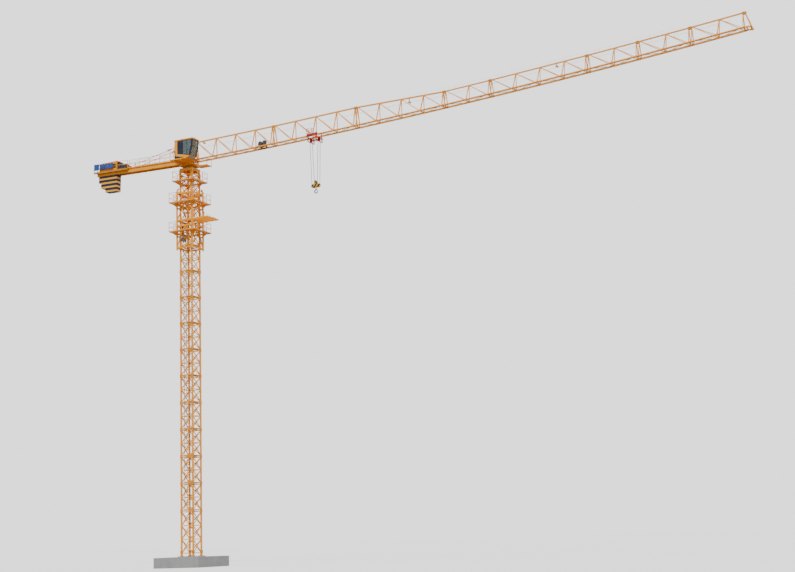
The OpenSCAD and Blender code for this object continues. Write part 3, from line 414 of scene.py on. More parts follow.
def concrete_material():
    """Cast concrete: pale grey, board marks along each side, small air holes and stains."""
    material, tree, shader = blank_material("cast_concrete")
    marks = use_group(tree, WEATHERING, Blotch_Scale=1.6, Streak_Scale=7.0, Grain_Scale=140.0).outputs
    base = ramp(tree, marks["Blotch"], (0.25, (0.255, 0.255, 0.257)), (0.75, (0.380, 0.380, 0.380)))
    stains = grey_ramp(tree, marks["Streak"], (0.52, 0.0), (0.85, 0.5))
    base = mix_colour(tree, stains, base, (0.225, 0.218, 0.205))
    holes = put(tree, "ShaderNodeTexVoronoi", Vector=object_coordinates(tree), Scale=34.0)
    pits = grey_ramp(tree, holes.outputs["Distance"], (0.05, 0.75), (0.16, 0.0))
    base = mix_colour(tree, pits, base, (0.150, 0.150, 0.148))
    board_width = BLOCK_TOP / 4
    seams = grey_ramp(tree, repeat(tree, object_parts(tree)["Z"], board_width), (0.0, 1.0), (0.05, 0.0))
    base = mix_colour(tree, math_node(tree, "MULTIPLY", seams, 0.35), base, (0.190, 0.190, 0.188))
    join(tree, shader, Base_Color=base,
         Roughness=grey_ramp(tree, marks["Grain"], (0.3, 0.72), (0.7, 0.92)))
    relief = math_node(tree, "SUBTRACT", marks["Grain"], pits)
    add_bump(tree, shader, math_node(tree, "SUBTRACT", relief, seams), 0.5, 0.004)
    return material


def tread_material(name, colour, dark):
    """Plate or rubber with a raised chequered tread."""
    material, tree, shader = blank_material(name)
    marks = use_group(tree, WEATHERING, Blotch_Scale=5.0, Streak_Scale=12.0, Grain_Scale=300.0).outputs
    checks = put(tree, "ShaderNodeTexChecker", Vector=object_coordinates(tree), Scale=38.0,
                 Color1=(1.0, 1.0, 1.0, 1.0), Color2=(0.0, 0.0, 0.0, 1.0)).outputs["Fac"]
    base = ramp(tree, marks["Blotch"], (0.3, dark), (0.7, colour))
    join(tree, shader, Base_Color=mix_colour(tree, math_node(tree, "MULTIPLY", checks, 0.22), base, dark),
         Roughness=grey_ramp(tree, marks["Blotch"], (0.3, 0.45), (0.7, 0.70)))
    add_bump(tree, shader, checks, 0.5, 0.003)
    return material


def grating_material(name, top, half):
    """Orange paint, with the deck plate under top opened between its bars; the frames below stay closed."""
    material, tree, shader, _, base = begin_paint(name, ORANGE, ORANGE_DARK)
    parts = object_parts(tree)
    hole = product(tree, math_node(tree, "GREATER_THAN", parts["Z"], top - GRATING_DEEP),
                   math_node(tree, "LESS_THAN", parts["Z"], top + 0.001))
    for axis, pitch, bar in (("X", 0.110, 0.10), ("Y", 0.036, 0.30)):
        inside = math_node(tree, "LESS_THAN", math_node(tree, "ABSOLUTE", parts[axis]), half)
        between_bars = math_node(tree, "GREATER_THAN", repeat(tree, parts[axis], pitch), bar)
        hole = product(tree, hole, inside, between_bars)
    join(tree, shader, Base_Color=base, Alpha=math_node(tree, "SUBTRACT", 1.0, hole))
    return material


def cab_shell_material():
    """The cab's orange paint, with a pale grey lining on the faces that look inward."""
    material, tree, shader, marks, outer = begin_paint("cab_shell_paint", ORANGE, ORANGE_DARK)
    parts = object_parts(tree)
    spans = (("X", CAB[0] + CAB_WALL, CAB[0] + 0.930),
             ("Y", CAB[1] + CAB_WALL, CAB[1] + CAB_WIDTH - CAB_WALL),
             ("Z", CAB[2] + CAB_WALL, CAB[2] + CAB_HEIGHT - CAB_WALL))
    inside = product(tree, *(math_node(tree, "GREATER_THAN", parts[axis], low) for axis, low, _ in spans),
                     *(math_node(tree, "LESS_THAN", parts[axis], high) for axis, _, high in spans))
    lining = ramp(tree, marks["Grain"], (0.30, (0.42, 0.43, 0.43)), (0.70, (0.50, 0.51, 0.51)))
    join(tree, shader, Base_Color=mix_colour(tree, inside, outer, lining))
    return material


def glass_material():
    """Tinted safety glass, a little duller in patches."""
    material, tree, shader = blank_material("tinted_glass", IOR=1.45, Transmission_Weight=0.85)
    marks = use_group(tree, WEATHERING, Blotch_Scale=4.0, Streak_Scale=18.0).outputs
    tint = ramp(tree, marks["Streak"], (0.35, (0.440, 0.580, 0.610)), (0.75, (0.520, 0.650, 0.670)))
    join(tree, shader, Base_Color=tint,
         Roughness=grey_ramp(tree, marks["Blotch"], (0.35, 0.02), (0.75, 0.05)))
    return material


def cloth_material():
    """Woven seat cloth."""
    material, tree, shader = blank_material("seat_cloth", Sheen_Weight=0.3)
    place = object_coordinates(tree)
    threads = [put(tree, "ShaderNodeTexWave", bands_direction=axis, Vector=place, Scale=210.0).outputs["Fac"]
               for axis in "XZ"]
    weave = product(tree, *threads)
    join(tree, shader,
         Base_Color=ramp(tree, weave, (0.1, (0.010, 0.011, 0.013)), (0.8, (0.040, 0.042, 0.048))),
         Roughness=grey_ramp(tree, weave, (0.1, 0.95), (0.8, 0.75)))
    add_bump(tree, shader, weave, 0.6, 0.002)
    return material


def lamp_material():
    """Lamp glass moulded in small cells."""
    material, tree, shader = blank_material("lamp_glass", Roughness=0.15)
    cells = put(tree, "ShaderNodeTexVoronoi", Vector=object_coordinates(tree), Scale=90.0)
    tone = ramp(tree, cells.outputs["Distance"], (0.1, (0.90, 0.88, 0.78)), (0.6, (0.62, 0.60, 0.52)))
    join(tree, shader, Base_Color=tone)
    add_bump(tree, shader, cells.outputs["Distance"], 0.4, 0.002)
    return material


wire_rope = rope_material()
concrete = concrete_material()
brown_tread = tread_material("brown_tread", (0.30, 0.130, 0.030), (0.17, 0.075, 0.020))
orange_tread = tread_material("orange_tread", (0.66, 0.265, 0.016), (0.46, 0.175, 0.010))
rubber = tread_material("rubber", (0.020, 0.020, 0.022), (0.010, 0.010, 0.011))
tinted_glass = glass_material()
seat_cloth = cloth_material()
cab_shell_paint = cab_shell_material()
top_grating = grating_material("top_grating", TOP_DECK_Z, TOP_DECK_HALF - DECK_EDGE)
upper_cage_grating = grating_material("upper_cage_grating", UPPER_CAGE_DECK_Z, CAGE_DECK_HALF - DECK_EDGE)
lower_cage_grating = grating_material("lower_cage_grating", LOWER_CAGE_DECK_Z, CAGE_DECK_HALF - DECK_EDGE)
lamp_glass = lamp_material()

# The carried-over nodes that aren't plain orange
NODE_FINISH = {
    "foundation_block": concrete, "fixing_feet": feet_paint, "mast_ladders": galvanised,
    "rest_platforms": brown_tread, "climbing_cylinder": oily_steel, "slewing_ring": dark_steel,
    # The turntable takes the darker orange: painted shade on its underside
    "turntable": painted_shade_orange, "slewing_motors": grey_paint, "cab_shell": cab_shell_paint,
    "cab_glass": tinted_glass, "operator_seat": seat_cloth, "trolley_winch": grey_paint,
    "counter_jib_deck": orange_tread, "tie_rods": red_paint, "hoist_winch": grey_paint,
    "sign_board": blue_paint, "counterweights": slab_paint, "trolley_frame": red_paint,
    "trolley_wheels": dark_steel, "trolley_sheaves": dark_steel, "service_basket": faded_red,
    "rope_falls": wire_rope, "hook_block": block_paint, "hook": dark_steel,
    "mast_top_platform": top_grating, "cage_upper_platform": upper_cage_grating,
    "cage_lower_platform": lower_cage_grating,
}
for name, cad_node in nodes.items():
    cad_node.data.materials.clear()
    cad_node.data.materials.append(NODE_FINISH.get(name, orange_paint))


# Mesh tools

SIDES = (-1, 1)
UP = Vector((0, 0, 1))
QUARTER_TURNS = [Matrix.Rotation(math.radians(90 * turn), 4, "Z") for turn in range(4)]


def add_box(bm, low, high, edge=0.0, matrix=None):
    """A block between two corners, with its edges rounded off by edge."""
    low, high = Vector(low), Vector(high)
    made = bmesh.ops.create_cube(bm, size=1.0)["verts"]
    bmesh.ops.scale(bm, vec=high - low, verts=made)
    bmesh.ops.translate(bm, vec=(low + high) / 2, verts=made)
    if edge:
        edges = list({e for v in made for e in v.link_edges})
        made = bmesh.ops.bevel(bm, geom=edges, offset=edge, segments=2, profile=0.5, affect="EDGES",
                               material=-1)["verts"]
    if matrix is not None:
        bmesh.ops.transform(bm, matrix=matrix, verts=made)
    return made


def between(a, b):
    """A placement that takes the Z axis from point a towards point b, and how far apart they are."""
    a, b = Vector(a), Vector(b)
    turn = (b - a).to_track_quat("Z", "Y").to_matrix().to_4x4()
    return Matrix.Translation(a) @ turn, (b - a).length


def add_rod(bm, a, b, radius, sides=10, end_radius=None):
    """A round rod from a to b, or a cone if end_radius is given."""
    matrix, length = between(a, b)
    made = bmesh.ops.create_cone(bm, cap_ends=True, segments=sides, radius1=radius,
                                 radius2=radius if end_radius is None else end_radius, depth=length)["verts"]
    bmesh.ops.transform(bm, matrix=matrix @ Matrix.Translation((0, 0, length / 2)), verts=made)
    return made


def add_stub(bm, at, out, start, end, radius, sides=12, end_radius=None):
    """A rod along the direction out, from start to end as measured from a point."""
    at, out = Vector(at), Vector(out)
    return add_rod(bm, at + out * start, at + out * end, radius, sides, end_radius)


def add_tube(bm, points, radius, sides=6, closed=False):
    """A bent round rod along points, with no gaps at its bends."""
    points = list(points) + list(points[:1]) if closed else points
    for a, b in zip(points, points[1:]):
        add_rod(bm, a, b, radius, sides)
    for p in points[1:-1]:
        made = bmesh.ops.create_icosphere(bm, subdivisions=1, radius=radius * 1.06)["verts"]
        bmesh.ops.translate(bm, vec=p, verts=made)


def add_plate(bm, outline, thickness):
    """A flat plate: outline is its corners in order, and thickness is a vector off its plane."""
    face = bm.faces.new([bm.verts.new(p) for p in outline])
    raised = bmesh.ops.extrude_face_region(bm, geom=[face])["geom"]
    moved = [v for v in raised if isinstance(v, bmesh.types.BMVert)]
    bmesh.ops.translate(bm, vec=thickness, verts=moved)
    return list(face.verts) + moved


def add_bolt(bm, at, axis, radius, height):
    """A hexagon bolt head with its washer, standing on a surface."""
    axis = Vector(axis).normalized()
    add_stub(bm, at, axis, 0, height * 0.25, radius * 1.35)
    add_stub(bm, at, axis, height * 0.2, height, radius, 6)


def add_ring(bm, centre, radius, wire, sides, steps, matrix=None):
    """A round ring about the Y axis; matrix, if given, places its first cross-section."""
    section = bmesh.ops.create_circle(bm, segments=sides, radius=wire)["verts"]
    placed = (Matrix.Translation(centre) if matrix is None else matrix) @ Matrix.Translation((radius, 0, 0))
    bmesh.ops.transform(bm, matrix=placed, verts=section)
    edges = list({e for v in section for e in v.link_edges})
    bmesh.ops.spin(bm, geom=section + edges, cent=centre, axis=(0, 1, 0), angle=2 * math.pi, steps=steps,
                   use_merge=True)


def finish_piece(name, bm, body, material, smooth=0.0):
    """Turns a bmesh into an object that rides on a body; smooth is the sharpest angle still shaded round."""
    bmesh.ops.recalc_face_normals(bm, faces=bm.faces)
    mesh = bpy.data.meshes.new(name)
    bm.to_mesh(mesh)
    bm.free()
    mesh.materials.append(material)
    piece = bpy.data.objects.new(name, mesh)
    bpy.context.scene.collection.objects.link(piece)
    if smooth:
        for face in mesh.polygons:
            face.use_smooth = True
        mesh.set_sharp_from_angle(angle=math.radians(smooth))
    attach(piece, body)
    return piece


def on_circle(radius, angle):
    """A step of one radius in the XZ plane, at an angle from X."""
    return Vector((radius * math.cos(angle), 0, radius * math.sin(angle)))


def four_corners(half):
    """The corners of a square round the origin."""
    return [Vector((x, y, 0.0)) for x in (-half, half) for y in (-half, half)]


# Foundation and mast

def make_anchor_bolts():
    """Threaded anchors with nuts at the corners of the four foot plates."""
    bm = bmesh.new()
    plate_top, bolt_at, stud = BLOCK_TOP + FIT_GAP + 0.025, 0.118, 0.045
    for foot in four_corners(LEG_AT):
        for corner in four_corners(bolt_at):
            at = foot + corner + UP * plate_top
            add_bolt(bm, at, UP, 0.017, 0.020)
            add_stub(bm, at, UP, 0, stud, 0.009, 8)
    finish_piece("anchor_bolts", bm, "crane_base", bolt_steel)


def make_leg_bolts():
    """Long bolts beside the sleeves where mast sections meet, on both outer faces of each leg."""
    bm = bmesh.new()
    out, half = LEG_AT + LEG / 2 + 0.021, 0.075
    places = [at for sx in SIDES for sy in SIDES
              for at in ((sx * out, sy * LEG_AT), (sx * LEG_AT, sy * out))]
    for joint in range(SECTIONS + 1):
        for x, y in places:
            at = (x, y, MAST_BASE + joint * SECTION)
            add_stub(bm, at, UP, -half, half, 0.011, 8)
            add_stub(bm, at, UP, -half - 0.012, -half + 0.004, 0.016, 6)
            add_stub(bm, at, UP, half, half + 0.016, 0.016, 6)
    finish_piece("leg_bolts", bm, "crane_base", bolt_steel)


def make_foot_collars():
    """Bolted collars where the lowest mast legs stand on their feet."""
    bm, bolts = bmesh.new(), bmesh.new()
    half, low, high = LEG / 2 + 0.018, 0.700, 0.850
    for x, y, _ in four_corners(LEG_AT):
        add_box(bm, (x - half, y - half, low), (x + half, y + half, high), 0.004)
        for z in (0.728, 0.775, 0.822):
            for sx, sy in ((1, 0), (-1, 0), (0, 1), (0, -1)):
                add_bolt(bolts, (x + sx * half, y + sy * half, z), (sx, sy, 0), 0.013, 0.011)
    finish_piece("foot_collars", bm, "crane_base", orange_deck)
    finish_piece("foot_collar_bolts", bolts, "crane_base", bolt_steel)


def make_support_pins():
    """Two pins through the round holes of the lower support, with their head rings."""
    bm = bmesh.new()
    z, face, hole_at = 20.935, 0.3935, 0.235
    for at, out in (((hole_at, -face, z), (0, -1, 0)), ((face, -hole_at, z), (1, 0, 0))):
        add_stub(bm, at, out, -0.040, 0.010, 0.0245, 24)
        add_stub(bm, at, out, -0.004, 0.006, 0.036, 24)
        add_stub(bm, at, out, 0.010, 0.018, 0.013, 6)
    finish_piece("support_pins", bm, "crane_base", dark_steel, 35)


def make_mast_gussets():
    """Small plates where the diagonals cross, on all four faces of the mast sections."""
    bm = bmesh.new()
    half, inward = 0.052, 0.010
    for joint in range(SECTIONS):
        for quarter in (0.25, 0.75):
            z = MAST_BASE + (joint + quarter) * SECTION
            z += inward if quarter < 0.5 else -inward
            for turn in QUARTER_TURNS:
                add_box(bm, (-half, -LEG_AT - 0.024, z - half), (half, -LEG_AT - 0.017, z + half), 0.0, turn)
    finish_piece("mast_gussets", bm, "crane_base", orange_paint)


def make_deck_bars(name, z, half, hole):
    """Bearing and cross bars of a deck's grating, open round the mast."""
    bm = bmesh.new()
    inner, outer = hole + 0.004, half - 0.013
    bearers, end_gap, cross_pitch = 34, 0.012, 0.11

    def spans(at):
        """The stretches of a bar at this distance from the middle line."""
        return [(-outer, outer)] if abs(at) > inner + 0.004 else [(-outer, -inner), (inner, outer)]

    for i in range(bearers + 1):
        y = -outer + end_gap + (2 * outer - 2 * end_gap) * i / bearers
        for a, b in spans(y):
            add_box(bm, (a, y - 0.003, z), (b, y + 0.003, z + 0.009))
    for k in range(1, int(2 * outer / cross_pitch) + 1):
        x = -outer + cross_pitch * k
        for a, b in spans(x):
            add_box(bm, (x - 0.002, a, z), (x + 0.002, b, z + 0.006))
    finish_piece(name, bm, "crane_base", galvanised)


def make_cage_rollers():
    """Guide rollers in their brackets, one against each mast leg at three heights."""
    bm, brackets = bmesh.new(), bmesh.new()
    radius, drop, bracket_at, sheet = 0.030, 0.034, 0.031, 0.006
    cheek = ((0.012, 0.020), (0.030, 0.020), (0.052, -0.020), (0.046, -0.052), (0.018, -0.052),
             (0.010, -0.020))
    for level in (0.70, 2.25, 3.12):
        z = CAGE_BOTTOM + level
        for turn in QUARTER_TURNS:
            centre = (LEG_AT, MAST_FACE + radius + 0.001, z - drop)
            made = add_stub(bm, centre, (1, 0, 0), -0.024, 0.024, radius, 20)
            made += add_stub(bm, centre, (1, 0, 0), -0.038, 0.038, 0.010, 8)
            bmesh.ops.transform(bm, matrix=turn, verts=list(set(made)))
            for side in SIDES:
                x = LEG_AT + side * bracket_at - sheet / 2
                made = add_plate(brackets, [(x, MAST_FACE + y, z + dz) for y, dz in cheek], (sheet, 0, 0))
                bmesh.ops.transform(brackets, matrix=turn, verts=made)
    finish_piece("cage_rollers", bm, "crane_base", dark_steel, 35)
    finish_piece("cage_roller_brackets", brackets, "crane_base", orange_paint)


def make_cage_gussets():
    """Corner plates between the cage's posts and its horizontal frames."""
    bm = bmesh.new()
    post, reach, sheet = CAGE_AT - 0.035 + 0.004, 0.104, 0.010
    only_above, only_below = (0.12, 1.31), (3.115,)
    for level in (0.12, 1.31, 1.61, 2.52, 3.115):
        z = CAGE_BOTTOM + level
        ways = [up for up in SIDES if not (level in only_above and up < 0 or level in only_below and up > 0)]
        for turn in QUARTER_TURNS:
            for side in SIDES:
                for up in ways:
                    corners = ((post, 0.038), (post - reach, 0.038), (post - reach, 0.050), (post, 0.135))
                    made = add_plate(bm, [(side * x, -CAGE_AT - sheet / 2, z + up * dz) for x, dz in corners],
                                     (0, sheet, 0))
                    bmesh.ops.transform(bm, matrix=turn, verts=made)
    finish_piece("cage_gussets", bm, "crane_base", orange_paint)


def make_ring_bolts():
    """Bolts round the foot of the slewing ring, where the square support lies under them."""
    bm = bmesh.new()
    count, radius, square = 36, 0.368, 0.39
    for i in range(count):
        a = 2 * math.pi * i / count
        at = Vector((radius * math.cos(a), radius * math.sin(a), SUPPORT_TOP + FIT_GAP))
        if abs(at.x) < square and abs(at.y) < square:
            add_bolt(bm, at, UP, 0.009, 0.012)
    finish_piece("ring_bolts", bm, "crane_base", bolt_steel)


make_anchor_bolts()
make_leg_bolts()
make_foot_collars()
make_support_pins()
make_mast_gussets()
make_deck_bars("top_deck_bars", TOP_DECK_Z, TOP_DECK_HALF, MAST_FACE)
make_deck_bars("upper_cage_deck_bars", UPPER_CAGE_DECK_Z, CAGE_DECK_HALF, CAGE_DECK_HOLE)
make_deck_bars("lower_cage_deck_bars", LOWER_CAGE_DECK_Z, CAGE_DECK_HALF, CAGE_DECK_HOLE)
make_cage_rollers()
make_cage_gussets()
make_ring_bolts()


# Jib

def make_jib_pins():
    """Pin heads and cover plates where jib sections are pinned together."""
    pins, plates = bmesh.new(), bmesh.new()
    inner, cheek, lug = HALF_CHORDS - 0.046, 0.050, 0.023
    cover = ((-0.095, 0.036), (0.095, 0.036), (0.095, -0.036), (0.040, -0.085), (-0.040, -0.085),
             (-0.095, -0.036))
    last = len(SECTION_BAYS)
    for n in range(1, last + 1):
        joint = section_joint(n)
        for x in (joint - lug, joint + lug):
            for side in SIDES:
                at = (x, side * inner, arc_z(x))
                add_stub(pins, at, (0, -side, 0), 0, 0.014, 0.019)
                add_stub(pins, at, (0, -side, 0), 0, 0.022, 0.008, 8)
            high = top_z(x) if n < last else top_z(joint)
            for side in SIDES:
                add_stub(pins, (x, side * cheek, high), (0, side, 0), 0, 0.014, 0.020)
        for side in SIDES:
            outline = [(joint + x, side * cheek, top_z(joint) + z) for x, z in cover]
            add_plate(plates, outline, (0, side * 0.006, 0))
    finish_piece("jib_pins", pins, "upper_crane", painted_shade_orange, 35)
    finish_piece("jib_joint_plates", plates, "upper_crane", painted_shade_orange)


def make_jib_gussets():
    """Node plates on the upper chord and inside the lower chords."""
    bm = bmesh.new()
    on_top = ((-0.075, -0.018), (0.085, -0.018), (0.065, -0.062), (-0.040, -0.062))
    below = ((-0.115, 0.020), (0.070, 0.020), (0.045, 0.085), (-0.060, 0.085))
    joints = {round(section_joint(n), 3) for n in range(len(SECTION_BAYS) + 1)}
    for i in range(sum(SECTION_BAYS) + 1):
        x = JIB_ROOT + i * BAY
        if round(x, 3) in joints:
            continue
        over = x + NODE_LEAD
        chord_half = 0.034 if x < section_joint(3) else 0.030
        for side in SIDES:
            y = side * chord_half
            add_plate(bm, [(over + dx, y, top_z(over) + dz) for dx, dz in on_top], (0, side * 0.004, 0))
            y = side * (HALF_CHORDS - 0.035)
            add_plate(bm, [(x + dx, y, arc_z(x) + dz) for dx, dz in below], (0, -side * 0.005, 0))
    finish_piece("jib_gussets", bm, "upper_crane", orange_paint)


# The rope's two pulleys in the tower head: x, z and radius
HIGH_PULLEY = (-0.05, 22.30, 0.125)
LOW_PULLEY = (0.165, 21.496, 0.092)
ROPE_STEP = BAY / 2


def along_jib(x0, x1, y, offset, step=BAY):
    """Points that follow the jib's arc at an offset from the lower chords."""
    count = max(1, round((x1 - x0) / step))
    places = [x0 + (x1 - x0) * i / count for i in range(count + 1)]
    return [Vector((x, y, arc_z(x) + offset)) for x in places]


def under_top_chord(x0, count, y, offset):
    """Points that follow the upper chord from x0 on, at an offset from its middle line."""
    return [Vector((x, y, top_z(x) + offset)) for x in (x0 + ROPE_STEP * k for k in range(count))]


def make_jib_ropes():
    """The hoist rope from the winch over the head's pulleys to the tip, and the trolley's two ropes."""
    bm = bmesh.new()
    drum_radius = 0.158
    drum = counter_point(WINCH_X, 0.0, DECK_TOP + WINCH_AXLE + drum_radius)
    x, z, radius = HIGH_PULLEY
    over = [Vector((x, 0, z)) + on_circle(radius, math.radians(k)) for k in (94, 70, 45, 20, 0)]
    x, z, radius = LOW_PULLEY
    under = [Vector((x, 0, z)) - on_circle(radius, math.radians(k)) for k in (0, 25, 50, 75, 90)]
    hoist = [drum] + over + under + along_jib(0.55, 30.10, 0.0, -0.058, ROPE_STEP)
    hoist.append(Vector((30.390, 0.0, arc_z(30.16) - 0.075)))
    add_tube(bm, hoist, 0.0055)
    for y in (-0.055, 0.055):
        add_tube(bm, along_jib(0.42, 30.42, y, 0.030), 0.004, 5)
    finish_piece("jib_ropes", bm, "upper_crane", wire_rope)


def make_hand_lines():
    """Hand lines inside the truss and, on short posts, over its middle part."""
    lines = bmesh.new()
    for side in SIDES:
        points = under_top_chord(0.45, 17, side * 0.072, -0.33)
        points += under_top_chord(section_joint(3), 24, side * 0.058, -0.19)
        add_tube(lines, points, 0.003, 4)
    above = under_top_chord(13.42, 23, 0, 0.170)
    add_tube(lines, above, 0.003, 4)
    for p in above[::4]:
        add_stub(lines, p, UP, -0.138, 0.006, 0.005, 6)
    finish_piece("hand_lines", lines, "upper_crane", pale_orange)


def make_head_pulleys():
    """The rope's two pulleys in the tower head, with their cheeks."""
    bm, cheeks = bmesh.new(), bmesh.new()
    for x, z, radius in (HIGH_PULLEY, LOW_PULLEY):
        for y0, y1, r in ((-0.016, -0.009, radius + 0.012), (-0.009, 0.009, radius - 0.006),
                          (0.009, 0.016, radius + 0.012)):
            add_rod(bm, (x, y0, z), (x, y1, z), r, 28)
        add_rod(bm, (x, -0.045, z), (x, 0.045, z), 0.016, 12)
    upper = ((-0.11, 22.512), (0.01, 22.512), (-0.005, 22.26), (-0.095, 22.26))
    lower = ((0.115, 21.53), (0.215, 21.53), (0.345, 21.385), (0.345, 21.345), (0.115, 21.46))
    for y in (-0.034, 0.026):
        for corners in (upper, lower):
            add_plate(cheeks, [(x, y, z) for x, z in corners], (0, 0.008, 0))
    finish_piece("head_pulleys", bm, "upper_crane", dark_steel, 35)
    finish_piece("head_pulley_cheeks", cheeks, "upper_crane", orange_paint)


def make_winch_walkway():
    """Open grating between the lower chords beside the trolley winch."""
    bm = bmesh.new()
    x0, x1, half, drop = 4.30, 5.00, 0.186, 0.030
    rim, wire, lanes, rungs, rung = 0.006, 0.0015, 10, 8, 0.008
    a, b = arc_z(x0) - drop, arc_z(x1) - drop
    for y in (-half, half - rim):
        corners = ((x0, a + 0.006), (x1, b + 0.006), (x1, b - 0.012), (x0, a - 0.012))
        add_plate(bm, [(x, y, z) for x, z in corners], (0, rim, 0))
    for k in range(1, lanes):
        y = -half + 2 * half * k / lanes
        add_plate(bm, [(x0, y - wire, a), (x1, y - wire, b), (x1, y + wire, b), (x0, y + wire, a)],
                  (0, 0, 0.004))
    for i in range(rungs):
        x = x0 + (x1 - x0 - rung) * i / (rungs - 1)
        z = arc_z(x) - drop
        add_box(bm, (x, 0.004 - half, z - 0.008), (x + rung, half - 0.004, z + 0.001))
    finish_piece("winch_walkway", bm, "upper_crane", orange_tread)


def make_flood_lamps():
    """Lamps hung under the upper chord, with their cooling ribs and glass."""
    bm, glass = bmesh.new(), bmesh.new()
    lean = Matrix.Rotation(math.radians(24), 4, "Y")
    for x, drop in ((0.95, 0.09), (13.35, 0.20), (21.20, 0.13)):
        z = top_z(x) - 0.037
        for y in (-0.030, 0.022):
            add_box(bm, (x - 0.012, y, z - drop), (x + 0.012, y + 0.008, z + 0.02))
        turned = Matrix.Translation((x, 0, z - drop)) @ lean
        add_box(bm, (-0.075, -0.020, -0.030), (0.075, 0.020, 0.035), 0.008, turned)
        for k in range(6):
            y = -0.040 + 0.016 * k
            add_box(bm, (-0.060, y - 0.002, 0.030), (0.060, y + 0.002, 0.052), 0.0, turned)
        add_box(bm, (-0.068, -0.044, -0.014), (0.068, 0.044, 0.034), 0.006, turned)
        add_box(glass, (-0.060, -0.038, -0.034), (0.060, 0.038, -0.012), 0.004, turned)
    finish_piece("flood_lamps", bm, "upper_crane", painted_shade_orange)
    finish_piece("flood_lamp_glass", glass, "upper_crane", lamp_glass)


make_jib_pins()
make_jib_gussets()
make_jib_ropes()
make_hand_lines()
make_head_pulleys()
make_winch_walkway()
make_flood_lamps()


# Cab

FRONT_IN = 0.045
CAB_MIDDLE = 0.30


def in_cab(x, y, z):
    """A point given from the lower rear corner of the cab's near side."""
    return Vector((CAB[0] + x, CAB[1] + y, CAB[2] + z))


def cab_box(bm, low, high, edge=0.0):
    """A block between two points of the cab."""
    return add_box(bm, in_cab(*low), in_cab(*high), edge)


def cab_rod(bm, a, b, radius, sides):
    """A rod between two points of the cab."""
    return add_rod(bm, in_cab(*a), in_cab(*b), radius, sides)


def cab_side_plate(bm, outline, thickness=0.003):
    """The same thin plate on the near and on the far side of the cab."""
    for y, out in ((0.0, -thickness), (CAB_WIDTH, thickness)):
        add_plate(bm, [in_cab(x, y, z) for x, z in outline], (0, out, 0))


WINDOW = ((0.540, 0.212), (0.922, 0.130), (1.060, 0.610), (1.078, 0.965), (0.540, 0.965))


def make_cab_panels():
    """Dark painted fields round the side windows, along the rear edge and beside the front pane."""
    bm = bmesh.new()
    rear_field = ((0.184, 0.262), (0.540, 0.190), (0.540, 0.978), (0.184, 0.978))
    under_window = ((0.540, 0.190), (0.978, 0.092), (0.922, 0.130), (0.540, 0.212))
    before_window = ((0.922, 0.130), (0.978, 0.092), (0.981, 0.092), (1.132, 0.612), (1.151, 0.978),
                     (1.078, 0.965), (1.060, 0.610))
    over_window = ((0.540, 0.965), (1.078, 0.965), (1.151, 0.978), (0.540, 0.978))
    rear_corner = ((0.0, 0.0), (0.62, 0.0), (0.62, 0.040), (0.062, 0.165), (0.045, 0.430), (0.0, 0.430))
    for outline in (rear_field, under_window, before_window, over_window, rear_corner):
        cab_side_plate(bm, outline)
    edge = ((0.978, 0.092), (1.129, 0.612), (1.148, 0.978))
    for y0 in (0.0, CAB_WIDTH - FRONT_IN):
        y1 = y0 + FRONT_IN
        for (x0, z0), (x1, z1) in zip(edge, edge[1:]):
            corners = ((x0, y0, z0), (x1, y0, z1), (x1, y1, z1), (x0, y1, z0))
            add_plate(bm, [in_cab(*corner) for corner in corners], (0.003, 0, 0))
    finish_piece("cab_panels", bm, "upper_crane", navy_paint)


def make_cab_nose_step():
    """Step plate under the nose, with four ribs across it."""
    bm = bmesh.new()
    low, high = in_cab(0.826, 0.05, 0.0), in_cab(0.974, 0.05, 0.084)
    out, across = Vector((0.004, 0, -0.007)), Vector((0, CAB_WIDTH - 0.10, 0))
    add_plate(bm, [low, high, high + across, low + across], out)
    for i in range(4):
        start = low + (high - low) * (0.16 + 0.22 * i) + Vector((0, 0.04, 0)) + out
        add_rod(bm, start, start + across - Vector((0, 0.08, 0)), 0.005, 8)
    finish_piece("cab_nose_step", bm, "upper_crane", galvanised)


def make_cab_seals():
    """Black rubber round the glazing, the upright bar in the side windows and the wiper on the front pane."""
    bm = bmesh.new()
    bar_x = 0.800
    for y in (-0.002, CAB_WIDTH + 0.002):
        add_tube(bm, [in_cab(x, y, z) for x, z in WINDOW], 0.009, 8, closed=True)
        cab_rod(bm, (bar_x, y, 0.160), (bar_x, y, 0.962), 0.010, 8)
    near, far = FRONT_IN, CAB_WIDTH - FRONT_IN
    foot, bend, head = (0.993, 0.130), (1.131, 0.610), (1.149, 0.965)
    for y in (near, far):
        add_tube(bm, [in_cab(x, y, z) for x, z in (foot, bend, head)], 0.010, 8)
    for x, z, radius in ((*foot, 0.010), (*head, 0.010), (1.133, 0.610, 0.008)):
        cab_rod(bm, (x, near, z), (x, far, z), radius, 8)
    arm, blade, motor = 0.005, 0.004, 0.014
    cab_rod(bm, (1.152, 0.30, 0.935), (1.156, 0.17, 0.690), arm, 6)
    cab_rod(bm, (1.146, 0.12, 0.800), (1.140, 0.22, 0.590), blade, 6)
    cab_rod(bm, (1.138, 0.30, 0.940), (1.166, 0.30, 0.940), motor, 12)
    finish_piece("cab_seals", bm, "upper_crane", rubber, 40)


